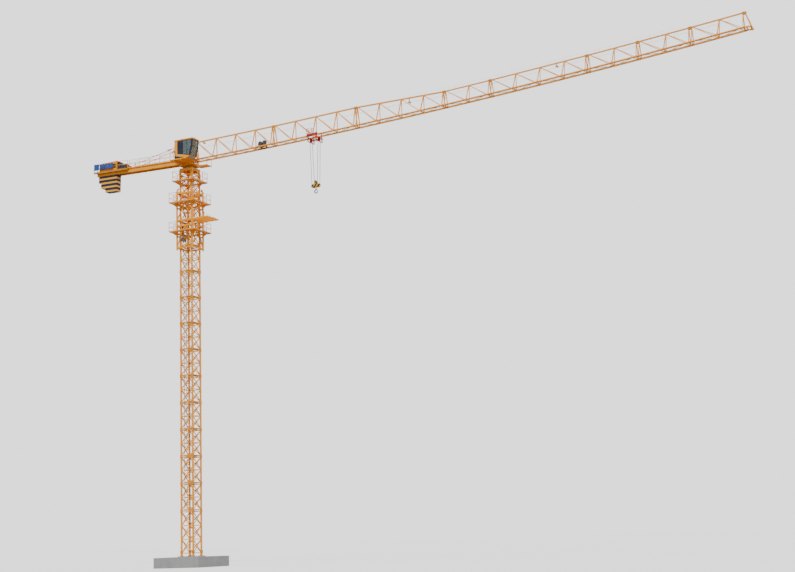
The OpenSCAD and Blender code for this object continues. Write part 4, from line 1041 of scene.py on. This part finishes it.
def make_cab_door():
    """Door in the rear wall with its window, handle and hinges, and a grab rail beside it."""
    bm, glass, fittings = bmesh.new(), bmesh.new(), bmesh.new()
    y0, y1, z0, z1 = 0.10, 0.50, 0.06, 0.93
    cab_box(bm, (-0.009, y0, z0), (0.0, y1, z1), 0.003)
    for low, high in ((z0 - 0.01, z0 + 0.006), (z1 - 0.006, z1 + 0.01)):
        cab_box(bm, (-0.014, y0 - 0.01, low), (-0.001, y1 + 0.01, high), 0.002)
    cab_box(glass, (-0.012, y0 + 0.07, 0.52), (-0.004, y1 - 0.07, 0.86), 0.002)
    for z in (0.16, 0.50, 0.84):
        add_stub(fittings, in_cab(-0.013, y1 + 0.006, z), UP, -0.03, 0.03, 0.008)
    handle_y, handle_z = y0 + 0.035, 0.475
    cab_box(fittings, (-0.020, y0 + 0.02, handle_z - 0.020), (-0.008, y0 + 0.05, handle_z + 0.020), 0.003)
    handle = ((-0.018, handle_y), (-0.040, handle_y), (-0.040, handle_y + 0.085))
    add_tube(fittings, [in_cab(x, y, handle_z) for x, y in handle], 0.006, 8)
    grab_rail = ((0.0, 0.32), (-0.045, 0.34), (-0.045, 0.78), (0.0, 0.80))
    add_tube(fittings, [in_cab(x, 0.045, z) for x, z in grab_rail], 0.008, 8)
    finish_piece("cab_door", bm, "upper_crane", orange_paint)
    finish_piece("cab_door_window", glass, "upper_crane", dark_pane)
    finish_piece("cab_door_fittings", fittings, "upper_crane", galvanised, 40)


def make_cab_roof():
    """Gutter beads and ribs on the roof, the air conditioner with its slats, and a lamp at the front."""
    bm, unit, lamp = bmesh.new(), bmesh.new(), bmesh.new()
    top, bead = CAB_HEIGHT + 0.012, 0.008
    for y in (-0.010, CAB_WIDTH + 0.002):
        cab_box(bm, (-0.012, y, top), (CAB_LENGTH + 0.012, y + bead, top + 0.010), 0.003)
    for x in (-0.012, CAB_LENGTH + 0.004):
        cab_box(bm, (x, -0.008, top), (x + bead, CAB_WIDTH + 0.008, top + 0.009), 0.003)
    for i in range(4):
        x = 0.20 + 0.24 * i
        cab_box(bm, (x, 0.05, top - 0.002), (x + 0.03, CAB_WIDTH - 0.05, top + 0.006), 0.002)
    cab_box(unit, (0.24, 0.16, top), (0.56, 0.44, top + 0.085), 0.012)
    for i in range(7):
        y = 0.19 + 0.032 * i
        cab_box(unit, (0.555, y, top + 0.018), (0.566, y + 0.014, top + 0.068), 0.002)
    cab_rod(lamp, (1.10, CAB_MIDDLE, top - 0.002), (1.10, CAB_MIDDLE, top + 0.032), 0.007, 8)
    cab_rod(lamp, (1.085, CAB_MIDDLE, top + 0.045), (1.135, CAB_MIDDLE, top + 0.036), 0.026, 20)
    finish_piece("cab_roof_trim", bm, "upper_crane", orange_paint)
    finish_piece("cab_air_conditioner", unit, "upper_crane", pale_grey_paint, 40)
    finish_piece("cab_roof_lamp", lamp, "upper_crane", grey_paint, 40)


def cushion(bm, centre, size, crown, tilt=0.0):
    """Fills an empty bmesh with a crowned pad whose sides pull in; size is length, width and thickness."""
    rows, channel_at, channel_width = 10, 0.46, 0.045
    bmesh.ops.create_cube(bm, size=1.0)
    bmesh.ops.subdivide_edges(bm, edges=list(bm.edges), cuts=rows, use_grid_fill=True)
    made = list(bm.verts)
    for v in made:
        x, y, z = v.co * 2.0
        pinch = 1.0 - 0.06 * (1.0 - abs(x * y)) * (abs(x) ** 6 + abs(y) ** 6) / 2.0
        round_x = x * math.sqrt(1.0 - 0.16 * y * y * abs(x) ** 3) * pinch
        round_y = y * math.sqrt(1.0 - 0.16 * x * x * abs(y) ** 3) * pinch
        dome = (1.0 - x ** 4) * (1.0 - y ** 4)
        edge = 1.0 - 0.42 * max(abs(x), abs(y)) ** 8
        channel = 0.10 * math.exp(-((abs(x) - channel_at) / channel_width) ** 2) if z > 0.9 else 0.0
        high = z * edge * (0.62 + 0.38 * dome) - channel * dome + (crown * dome if z > 0 else 0.0)
        v.co = Vector((round_x * size[0] / 2, round_y * size[1] / 2, high * size[2] / 2))
    matrix = Matrix.Translation(centre) @ Matrix.Rotation(tilt, 4, "Y")
    bmesh.ops.transform(bm, matrix=matrix, verts=made)


# The middle of the seat on the cab's floor, and its two cushions' middles from there
SEAT = in_cab(0.48, CAB_WIDTH / 2, 0.0283)
BASE_Z = 0.206
BACK_X = -0.112
BACK_Z = 0.375


def seat_box(bm, low, high, edge):
    """A block given from the middle of the seat."""
    return add_box(bm, SEAT + Vector(low), SEAT + Vector(high), edge)


def seat_rod(bm, a, b, radius, sides, end_radius=None):
    """A rod given from the middle of the seat."""
    return add_rod(bm, SEAT + Vector(a), SEAT + Vector(b), radius, sides, end_radius)


def make_seat_cushions():
    """The padded base, back and head rest of the operator's seat, and the piping round the first two."""
    cushions = (
        ("seat_base_cushion", (0.0, 0, BASE_Z), (0.250, 0.245, 0.060), 0.20, 0),
        ("seat_back_cushion", (BACK_X, 0, BACK_Z), (0.300, 0.225, 0.052), 0.18, 86),
        ("seat_head_rest", (-0.122, 0, 0.555), (0.070, 0.150, 0.044), 0.15, 88))
    for name, at, size, crown, tilt in cushions:
        bm = bmesh.new()
        cushion(bm, SEAT + Vector(at), size, crown, math.radians(tilt))
        piece = finish_piece(name, bm, "upper_crane", seat_cloth, 60)
        if name == "seat_base_cushion":
            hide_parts("operator_seat")
    seams = bmesh.new()
    corners = ((-1, -0.86), (-1, 0.86), (-0.86, 1), (0.86, 1), (1, 0.86), (1, -0.86), (0.86, -1), (-0.86, -1))
    loop = [SEAT + Vector((x * 0.118, y * 0.115, BASE_Z)) for x, y in corners]
    add_tube(seams, loop, 0.0028, 6, closed=True)
    corners = ((-1, -0.9), (-0.86, -1), (0.86, -1), (1, -0.9), (1, 0.9), (0.86, 1), (-0.86, 1), (-1, 0.9))
    loop = [SEAT + Vector((BACK_X, y * 0.105, BACK_Z + z * 0.142)) for y, z in corners]
    add_tube(seams, loop, 0.0028, 6, closed=True)
    finish_piece("seat_piping", seams, "upper_crane", rubber, 50)


def make_seat_frame():
    """The seat's foot and bellows, its pan, the bar under the consoles and the two straps of the back."""
    bm = bmesh.new()
    for i in range(6):
        z, fold = 0.012 + 0.022 * i, 0.052 if i % 2 else 0.060
        seat_rod(bm, (0, 0, z), (0, 0, z + 0.013), fold, 24)
        seat_rod(bm, (0, 0, z + 0.012), (0, 0, z + 0.023), 0.050, 24)
    seat_rod(bm, (0, 0, 0), (0, 0, 0.012), 0.075, 24)
    seat_box(bm, (-0.115, -0.115, 0.146), (0.115, 0.115, 0.178), 0.008)
    seat_box(bm, (-0.050, -0.200, 0.160), (-0.022, 0.200, 0.178), 0.004)
    for y in (-0.030, 0.020):
        seat_box(bm, (-0.142, y, 0.17), (-0.134, y + 0.010, 0.56), 0.002)
    finish_piece("seat_frame", bm, "upper_crane", grey_paint, 40)


def make_seat_consoles():
    """Arm consoles on both sides of the seat, with their levers and buttons."""
    desk, knobs = bmesh.new(), bmesh.new()
    lever_x = 0.100
    for y in (-0.170, 0.170):
        seat_box(desk, (-0.060, y - 0.033, 0.215), (0.165, y + 0.033, 0.318), 0.010)
        seat_box(desk, (0.050, y - 0.026, 0.314), (0.150, y + 0.026, 0.326), 0.004)
        seat_rod(knobs, (lever_x, y, 0.324), (lever_x, y, 0.340), 0.020, 20, 0.009)
        seat_rod(knobs, (lever_x, y, 0.336), (lever_x + 0.003, y, 0.405), 0.006, 12)
        seat_rod(knobs, (lever_x + 0.003, y, 0.395), (lever_x + 0.005, y, 0.440), 0.013, 16, 0.015)
        for k in range(3):
            x = -0.030 + 0.024 * k
            seat_rod(knobs, (x, y, 0.316), (x, y, 0.324), 0.006, 12)
        seat_box(desk, (-0.050, y - 0.028, 0.178), (-0.020, y + 0.028, 0.220), 0.002)
    finish_piece("seat_consoles", desk, "upper_crane", grey_paint, 40)
    finish_piece("seat_levers", knobs, "upper_crane", rubber, 40)


def make_cab_inside():
    """Instrument panel on its post, pedals, strips and a cabinet at the rear wall, and the floor mat."""
    bm, mat = bmesh.new(), bmesh.new()
    mat_z, mat_top = 0.0285, 0.0345
    cab_box(mat, (0.10, 0.040, mat_z), (0.80, CAB_WIDTH - 0.040, mat_top), 0.002)
    for i in range(9):
        x = 0.13 + 0.075 * i
        cab_box(mat, (x, 0.050, 0.034), (x + 0.012, CAB_WIDTH - 0.050, 0.0375))
    cab_rod(bm, (0.80, 0.13, 0.034), (0.86, 0.13, 0.36), 0.012, 12)
    turned = Matrix.Translation(in_cab(0.865, 0.13, 0.40)) @ Matrix.Rotation(math.radians(-24), 4, "Y")
    add_box(bm, (-0.012, -0.075, -0.060), (0.014, 0.075, 0.060), 0.006, turned)
    for y in (0.26, 0.35):
        turned = Matrix.Translation(in_cab(0.74, y, 0.062)) @ Matrix.Rotation(math.radians(-32), 4, "Y")
        add_box(bm, (-0.040, -0.028, -0.004), (0.040, 0.028, 0.004), 0.003, turned)
        cab_rod(bm, (0.755, y, 0.034), (0.755, y, 0.064), 0.007, 8)
    for y in (0.05, 0.52):
        cab_box(bm, (0.029, y, 0.20), (0.045, y + 0.03, 0.90), 0.004)
    cab_box(bm, (0.06, 0.40, 0.035), (0.22, 0.565, 0.62), 0.010)
    finish_piece("cab_instruments", bm, "upper_crane", grey_paint, 40)
    finish_piece("cab_floor_mat", mat, "upper_crane", rubber)


make_cab_panels()
make_cab_nose_step()
make_cab_seals()
make_cab_door()
make_cab_roof()
make_seat_cushions()
make_seat_frame()
make_seat_consoles()
make_cab_inside()


# Counter-jib

SLOPE = Matrix.Rotation(COUNTER_PITCH, 4, "Y")


def on_deck(x, y, z):
    """A point over the counter-jib's deck."""
    return counter_point(x, y, DECK_TOP + z)


def counter_box(bm, low, high, edge=0.0):
    """A block drawn along the counter-jib, with z over its underside."""
    return add_box(bm, low, high, edge, Matrix.Translation((0, 0, COUNTER_HEIGHT)) @ SLOPE)


def side_box(bm, side, xs, ys, zs, edge=0.0):
    """A counter-jib block on one side; ys are its distances from the middle line."""
    near, far = sorted((side * ys[0], side * ys[1]))
    return counter_box(bm, (xs[0], near, zs[0]), (xs[1], far, zs[1]), edge)


def make_counter_jib_lugs():
    """Lugs with their pins on the girders' webs, two blocks on the deck and the bottom flanges' bolts."""
    bm, bolts = bmesh.new(), bmesh.new()
    web, lug, pin_z = 0.212, 0.032, 0.044
    for side in SIDES:
        for x in (-3.90, -3.10, -2.30, -1.42, -0.62):
            side_box(bm, side, (x - lug, x + lug), (web, web + 0.030), (pin_z - 0.022, pin_z + 0.022), 0.006)
            add_stub(bolts, counter_point(x, side * (web + 0.028), pin_z), (0, side, 0), 0, 0.010, 0.013)
        for i in range(24):
            add_bolt(bolts, counter_point(-0.55 - 0.232 * i, side * 0.208, 0.014), UP, 0.0065, 0.008)
    for y in (-0.195, 0.195):
        counter_box(bm, (-2.17, y - 0.012, DECK_TOP), (-2.09, y + 0.012, DECK_TOP + 0.060), 0.005)
    finish_piece("counter_jib_lugs", bm, "upper_crane", pale_orange)
    finish_piece("counter_jib_bolts", bolts, "upper_crane", bolt_steel)


def make_counter_jib_grating():
    """Grating bars on the counter-jib's deck and side decks, with toe boards along the middle one."""
    bm, boards = bmesh.new(), bmesh.new()
    pitch, bar, half = 0.085, 0.006, 0.236
    for k in range(38):
        x = -3.72 + pitch * k
        counter_box(bm, (x, -half, DECK_TOP), (x + bar, half, DECK_TOP + 0.008))
    for k in range(9):
        y = -0.224 + 0.056 * k
        counter_box(bm, (-3.88, y - bar / 4, DECK_TOP), (-0.46, y + bar / 4, DECK_TOP + 0.006))
    for side in SIDES:
        for k in range(26):
            x = -6.22 + pitch * k
            side_box(bm, side, (x, x + bar), (0.285, 0.358), (DECK_TOP, DECK_TOP + 0.008))
        side_box(boards, side, (-3.88, -0.47), (0.226, 0.2295), (DECK_TOP, DECK_TOP + 0.055))
    finish_piece("counter_jib_grating", bm, "upper_crane", orange_deck)
    finish_piece("counter_jib_toe_boards", boards, "upper_crane", orange_paint)


def make_tie_rod_links():
    """Coupling sleeves and turnbuckles of the two tie rods, and the pins of their eyes."""
    bm, pins = bmesh.new(), bmesh.new()
    foot, head = counter_point(TIE_FOOT, 0.0, 0.285), Vector((-0.460, 0.0, CHORD_Z + 1.010))
    along = (head - foot).normalized()
    for y in (-TIE_Y, TIE_Y):
        low, high = foot + Vector((0, y, 0)), head + Vector((0, y, 0))
        for part in (0.30, 0.55):
            at = low.lerp(high, part)
            for start, end, radius, sides in ((-0.060, 0.060, 0.018, 16), (-0.070, -0.058, 0.022, 6),
                                              (0.058, 0.070, 0.022, 6)):
                add_stub(bm, at, along, start, end, radius, sides)
        add_stub(bm, high, along, -0.893, -0.667, 0.034, 20)
        for end, inward in ((low, along), (high, -along)):
            add_stub(bm, end, inward, 0.040, 0.130, 0.020, 16, 0.014)
            add_stub(pins, end, (0, 1, 0), -0.036, 0.036, 0.009)
    finish_piece("tie_rod_links", bm, "upper_crane", red_paint, 40)
    finish_piece("tie_rod_pins", pins, "upper_crane", bolt_steel, 40)


def make_winch_rope():
    """The rope wound on the hoist winch's drum."""
    bm = bmesh.new()
    turns, pitch, wound_radius, rope_radius = 19, 0.0246, 0.1462, 0.0115
    for k in range(turns):
        centre = on_deck(WINCH_X, -0.222 + pitch * k, WINCH_AXLE)
        add_ring(bm, centre, wound_radius, rope_radius, 10, 40, Matrix.Translation(centre) @ SLOPE)
    finish_piece("winch_rope_turns", bm, "upper_crane", wire_rope, 40)


def make_winch_ribs():
    """Spokes and two rings on the outside of the drum's side discs."""
    bm = bmesh.new()
    spokes, inner, outer, disc_y = 8, 0.070, 0.175, 0.2545
    for side in SIDES:
        centre = on_deck(WINCH_X, side * disc_y, WINCH_AXLE)
        for k in range(spokes):
            add_stub(bm, centre, on_circle(1, 2 * math.pi * k / spokes), inner, outer, 0.008, 6)
        for radius, thick in ((0.184, 0.012), (0.072, 0.022)):
            add_ring(bm, centre, radius, thick / 2, 8, 36)
    finish_piece("winch_disc_ribs", bm, "upper_crane", grey_paint, 40)


def make_winch_motor_fins():
    """Cooling fins, terminal box and end covers of the winch's motor, and the bolts of the winch's feet."""
    bm = bmesh.new()
    across = Vector((0, 1, 0))
    x, axle = WINCH_X + 0.290, 0.170
    for k in range(15):
        add_stub(bm, on_deck(x, -0.180 + 0.024 * k, axle), across, -0.0035, 0.0035, 0.119, 24)
    add_box(bm, on_deck(x - 0.045, -0.060, axle + 0.105), on_deck(x + 0.045, 0.060, axle + 0.150), 0.006)
    for side in SIDES:
        add_stub(bm, on_deck(x, side * 0.236, axle), across * side, 0, 0.030, 0.088, 24, 0.076)
        for foot in (WINCH_X + 0.38, WINCH_X - 0.19):
            add_bolt(bm, on_deck(foot, side * 0.253, 0.050), UP, 0.012, 0.014)
    finish_piece("winch_motor_fins", bm, "upper_crane", grey_paint, 40)


def hood_roof_z(x):
    """Height of the winch hood's sloping roof over the deck."""
    return 0.535 - 0.045 * (HOOD_FRONT - x) / 1.065


def make_hood_details():
    """Louvres, door seams, latches, roof seams and lifting eyes of the winch's hood."""
    louvres, trim, eyes = bmesh.new(), bmesh.new(), bmesh.new()
    side_y, frame, blade, blade_pitch = HOOD_SIDE, 0.012, 0.015, 0.0245
    for side in SIDES:
        for x0, x1 in ((-5.190, -4.800), (-5.820, -5.560)):
            side_box(trim, side, (x0 - frame, x1 + frame), (side_y, side_y + 0.006),
                     (DECK_TOP + 0.135, DECK_TOP + 0.372), 0.002)
            for k in range(9):
                z = DECK_TOP + 0.148 + blade_pitch * k
                side_box(louvres, side, (x0, x1), (side_y + 0.005, side_y + 0.013), (z, z + blade), 0.002)
        for x in (-5.50, -5.25):
            side_box(trim, side, (x, x + 0.010), (side_y, side_y + 0.004),
                     (DECK_TOP + 0.045, DECK_TOP + 0.46))
        for x in (-5.44, -5.31):
            add_stub(eyes, on_deck(x, side * side_y, 0.26), (0, side, 0), 0, 0.014, 0.010)
    for x in (-5.78, -5.50, -5.22, -4.94):
        z = DECK_TOP + hood_roof_z(x)
        counter_box(trim, (x, -0.268, z - 0.006), (x + 0.018, 0.268, z + 0.009), 0.002)
    for x in (-5.70, -4.85):
        for y in (-0.20, 0.20):
            z = hood_roof_z(x)
            eye = ((-0.022, 0), (-0.018, 0.034), (0.018, 0.034), (0.022, 0))
            add_tube(eyes, [on_deck(x + dx, y, z + dz) for dx, dz in eye], 0.006, 8)
    finish_piece("hood_louvres", louvres, "upper_crane", grey_paint)
    finish_piece("hood_trim", trim, "upper_crane", orange_deck)
    finish_piece("hood_eyes", eyes, "upper_crane", galvanised, 40)


def make_slab_eyes():
    """Two lifting eyes on the top of each counterweight slab."""
    bm = bmesh.new()
    slabs, eye = 8, ((-0.020, 0.104), (-0.016, 0.134), (0.016, 0.134), (0.020, 0.104))
    for i in range(slabs):
        x = SLAB_START - (i + 0.5) * SLAB_PITCH
        for y in (-0.060, 0.060):
            add_tube(bm, [counter_point(x, y + dy, z) for dy, z in eye], 0.007, 8)
    finish_piece("slab_eyes", bm, "upper_crane", bolt_steel, 40)


def make_sign_rims():
    """Rivets and edge beads of the blank rear plates."""
    bm = bmesh.new()
    post_face, plate, rivet_in, bead = -0.372 - 2 * FIT_GAP, 0.038, 0.018, 0.004
    y = post_face - plate
    plates = [(-6.230, -5.880, 0.095, 0.445)]
    plates += [(-5.840 + 0.190 * i, -5.675 + 0.190 * i, 0.123, 0.413) for i in range(5)]
    for x0, x1, z0, z1 in plates:
        for x in (x0 + rivet_in, x1 - rivet_in):
            for z in (z0 + rivet_in, z1 - rivet_in):
                add_stub(bm, on_deck(x, y, z), (0, -1, 0), 0, 0.005, 0.007, 10)
        x0, x1, z0, z1 = x0 + bead, x1 - bead, z0 + bead, z1 - bead
        ring = [on_deck(x, y, z) for x, z in ((x0, z0), (x1, z0), (x1, z1), (x0, z1))]
        add_tube(bm, ring, bead, 6, closed=True)
    finish_piece("sign_rims", bm, "upper_crane", blue_paint, 40)


make_counter_jib_lugs()
make_counter_jib_grating()
make_tie_rod_links()
make_winch_rope()
make_winch_ribs()
make_winch_motor_fins()
make_hood_details()
make_slab_eyes()
make_sign_rims()


# Trolley and hook

def on_trolley(x, y, z):
    """A point of the trolley, with z over the lower chords' middle line."""
    pitch = math.asin((TROLLEY_X - CAMBER_X) / CAMBER_RADIUS)
    c, s = math.cos(pitch), math.sin(pitch)
    return Vector((TROLLEY_X + x * c - z * s, y, arc_z(TROLLEY_X) + x * s + z * c))


def make_trolley_details():
    """Hub caps and bolts of the wheels, bolts of the frame, and the sheaves' axle ends and rope guards."""
    caps, guards = bmesh.new(), bmesh.new()
    wheel_x, axle_z, outer, guard_radius = 0.25, 0.034, 0.319, 0.088
    for side in SIDES:
        out = Vector((0, side, 0))
        for x in (-wheel_x, wheel_x):
            add_stub(caps, on_trolley(x, side * (outer + 0.018), axle_z), out, 0, 0.012, 0.022, 16)
            for k in range(6):
                a = math.pi * k / 3
                spot = on_trolley(x + 0.020 * math.cos(a), side * outer, axle_z + 0.028 * math.sin(a))
                add_bolt(caps, spot, out, 0.0045, 0.006)
        for x in (-SHEAVE_X, SHEAVE_X):
            for z in (-0.160, -0.325, -0.118):
                add_bolt(caps, on_trolley(x, side * (outer - 0.002), z), out, 0.010, 0.010)
            at = on_trolley(x, side * 0.040, -SHEAVE_DROP)
            add_stub(caps, at, out, 0, 0.014, 0.024, 16)
            add_bolt(caps, at + out * 0.012, out, 0.012, 0.010)
    for x in (-SHEAVE_X, SHEAVE_X):
        steps = [on_circle(guard_radius, math.radians(k)) for k in range(20, 161, 14)]
        arc = [on_trolley(x + step.x, 0, -SHEAVE_DROP + step.z) for step in steps]
        for y in (-0.017, 0.017):
            add_tube(guards, [p + Vector((0, y, 0)) for p in arc], 0.004, 6)
        for p in (arc[1], arc[-2]):
            add_stub(guards, p, (0, 1, 0), -0.026, 0.026, 0.005, 8)
    finish_piece("trolley_caps", caps, "trolley", grey_paint, 40)
    finish_piece("trolley_rope_guards", guards, "trolley", red_paint, 40)


def make_basket_mesh():
    """Wire mesh in the service basket's sides and its slatted floor."""
    wires, floor_bars = bmesh.new(), bmesh.new()
    rear, front, near = -0.181, 0.111, -0.3193
    far, floor, rail = near - 0.220, -0.050, 0.292
    mesh, wire = 0.043, 0.0014
    outer = far + 0.009
    for k in range(7):
        x = -0.180 + mesh * (k + 0.5)
        add_rod(wires, on_trolley(x, outer, floor), on_trolley(x, outer, rail), wire, 5)
    for k in range(5):
        y = far + 0.012 + mesh * (k + 0.5)
        for x in (rear, front):
            add_rod(wires, on_trolley(x, y, floor), on_trolley(x, y, rail), wire, 5)
    for k in range(4):
        z = -0.010 + 2 * mesh * k
        sides = ((rear, near - 0.010), (rear, outer), (front, outer), (front, near - 0.010))
        add_tube(wires, [on_trolley(x, y, z) for x, y in sides], wire, 5)
    for k in range(12):
        x = -0.180 + 0.0255 * k
        add_box(floor_bars, on_trolley(x, far + 0.012, floor),
                on_trolley(x + 0.006, near - 0.012, floor + 0.004))
    finish_piece("basket_mesh", wires, "trolley", faded_red)
    finish_piece("basket_floor_bars", floor_bars, "trolley", faded_red)


# The middle of the hook block's two lower axles
BLOCK = Vector((TROLLEY_X, 0, arc_z(TROLLEY_X) - HOOK_DROP))


def make_block_details():
    """Axle caps and bolts on the hook block's cheeks, and the spacer tubes between them."""
    spacers, caps = bmesh.new(), bmesh.new()
    cheek_y, bolt_circle = 0.046, 1.45
    for side in SIDES:
        out = Vector((0, side, 0))
        for x, z, radius in ((-0.155, 0.0, 0.034), (0.155, 0.0, 0.034), (0.0, 0.207, 0.040)):
            at = BLOCK + Vector((x, side * cheek_y, z))
            add_stub(caps, at, out, 0, 0.012, radius, 20)
            add_stub(caps, at, out, 0.010, 0.020, radius * 0.5, 6)
            for k in range(4):
                spot = at + on_circle(radius * bolt_circle, math.pi * (k / 2 + 0.25))
                add_bolt(caps, spot, out, 0.0065, 0.008)
        for x in (-0.060, 0.060):
            add_bolt(caps, BLOCK + Vector((x, side * cheek_y, -0.055)), out, 0.012, 0.012)
    for x, z in ((0.225, 0.052), (0.100, 0.130), (0.040, 0.110)):
        for at in (BLOCK + Vector((-x, 0, z)), BLOCK + Vector((x, 0, z))):
            add_stub(spacers, at, (0, 1, 0), -0.031, 0.031, 0.011)
    finish_piece("block_spacers", spacers, "hook_block", block_paint, 40)
    finish_piece("block_caps", caps, "hook_block", dark_steel, 40)


def make_hook_latch():
    """Two bearing rings on the hook's shank, and the spring latch over its mouth."""
    bm = bmesh.new()
    shank, throat = BLOCK - UP * 0.085, BLOCK - UP * 0.300
    for z, radius in ((-0.030, 0.034), (-0.040, 0.030)):
        add_stub(bm, shank, UP, z, z + 0.008, radius, 24)
    hinge, tip = throat + Vector((0.028, 0, 0.108)), throat + Vector((0.104, 0, 0.006))
    across = (0, 1, 0)
    add_stub(bm, hinge, across, -0.030, 0.030, 0.007)
    for y in (-0.020, 0.014):
        outline = [hinge + Vector((-0.008, y, 0.008)), hinge + Vector((0.012, y, 0.004)),
                   tip + Vector((-0.008, y, 0.016)), tip + Vector((-0.020, y, 0.004)),
                   hinge + Vector((-0.004, y, -0.012))]
        add_plate(bm, outline, (0, 0.005, 0))
    add_stub(bm, hinge.lerp(tip, 0.55), across, -0.018, 0.018, 0.006, 10)
    finish_piece("hook_latch", bm, "hook", galvanised, 40)


make_trolley_details()
make_basket_mesh()
make_block_details()
make_hook_latch()


# Light and floor

SURROUND = 1.9
FILL = 0.75
KEY = 3.2
KEY_TURN = (math.radians(48), 0, math.radians(33))
KEY_SPREAD = math.radians(12)
FLOOR_SIZE = 4000.0
FLOOR_DROP = 0.002
FLOOR_LIT = 1.26
GROUND = (0.30, 0.29, 0.27, 1.0)
WHITE = (1.0, 1.0, 1.0, 1.0)


def seen_by_camera(tree, seen, other):
    """Mixes two shaders: the first for what the camera sees directly, the second for all other light."""
    path = put(tree, "ShaderNodeLightPath").outputs["Is Camera Ray"]
    return put(tree, "ShaderNodeMixShader", i0=path, i1=other.outputs[0], i2=seen.outputs[0]).outputs[0]


def make_floor():
    """A pale floor that fades into the surround; the light that it throws back is that of bare ground."""
    bpy.ops.mesh.primitive_plane_add(size=FLOOR_SIZE, location=(0, 0, -FLOOR_DROP))
    floor = bpy.context.object
    floor.name = "floor"
    material, tree, shader = blank_material("floor_finish", Roughness=0.9)
    marks = use_group(tree, WEATHERING, Blotch_Scale=0.05)
    join(tree, shader, Base_Color=grey_ramp(tree, marks.outputs["Blotch"], (0.3, 0.86), (0.7, 0.90)))
    glow = put(tree, "ShaderNodeEmission", Strength=SURROUND - FLOOR_LIT)
    both = put(tree, "ShaderNodeAddShader", i0=shader.outputs[0], i1=glow.outputs[0])
    ground = put(tree, "ShaderNodeBsdfDiffuse", Color=GROUND)
    join(tree, tree.nodes["Material Output"], Surface=seen_by_camera(tree, both, ground))
    floor.data.materials.append(material)


def make_light():
    """A white surround with a weaker fill from all round, and one soft key light."""
    world = bpy.data.worlds.new("studio")
    world.use_nodes = True
    tree = world.node_tree
    fill = tree.nodes["Background"]
    fill.inputs["Color"].default_value = WHITE
    fill.inputs["Strength"].default_value = FILL
    surround = put(tree, "ShaderNodeBackground", Color=WHITE, Strength=SURROUND)
    join(tree, tree.nodes["World Output"], Surface=seen_by_camera(tree, surround, fill))
    bpy.context.scene.world = world
    key = bpy.data.lights.new("key_light", "SUN")
    key.energy = KEY
    key.angle = KEY_SPREAD
    lamp = bpy.data.objects.new("key_light", key)
    lamp.rotation_euler = KEY_TURN
    bpy.context.scene.collection.objects.link(lamp)


make_floor()
make_light()
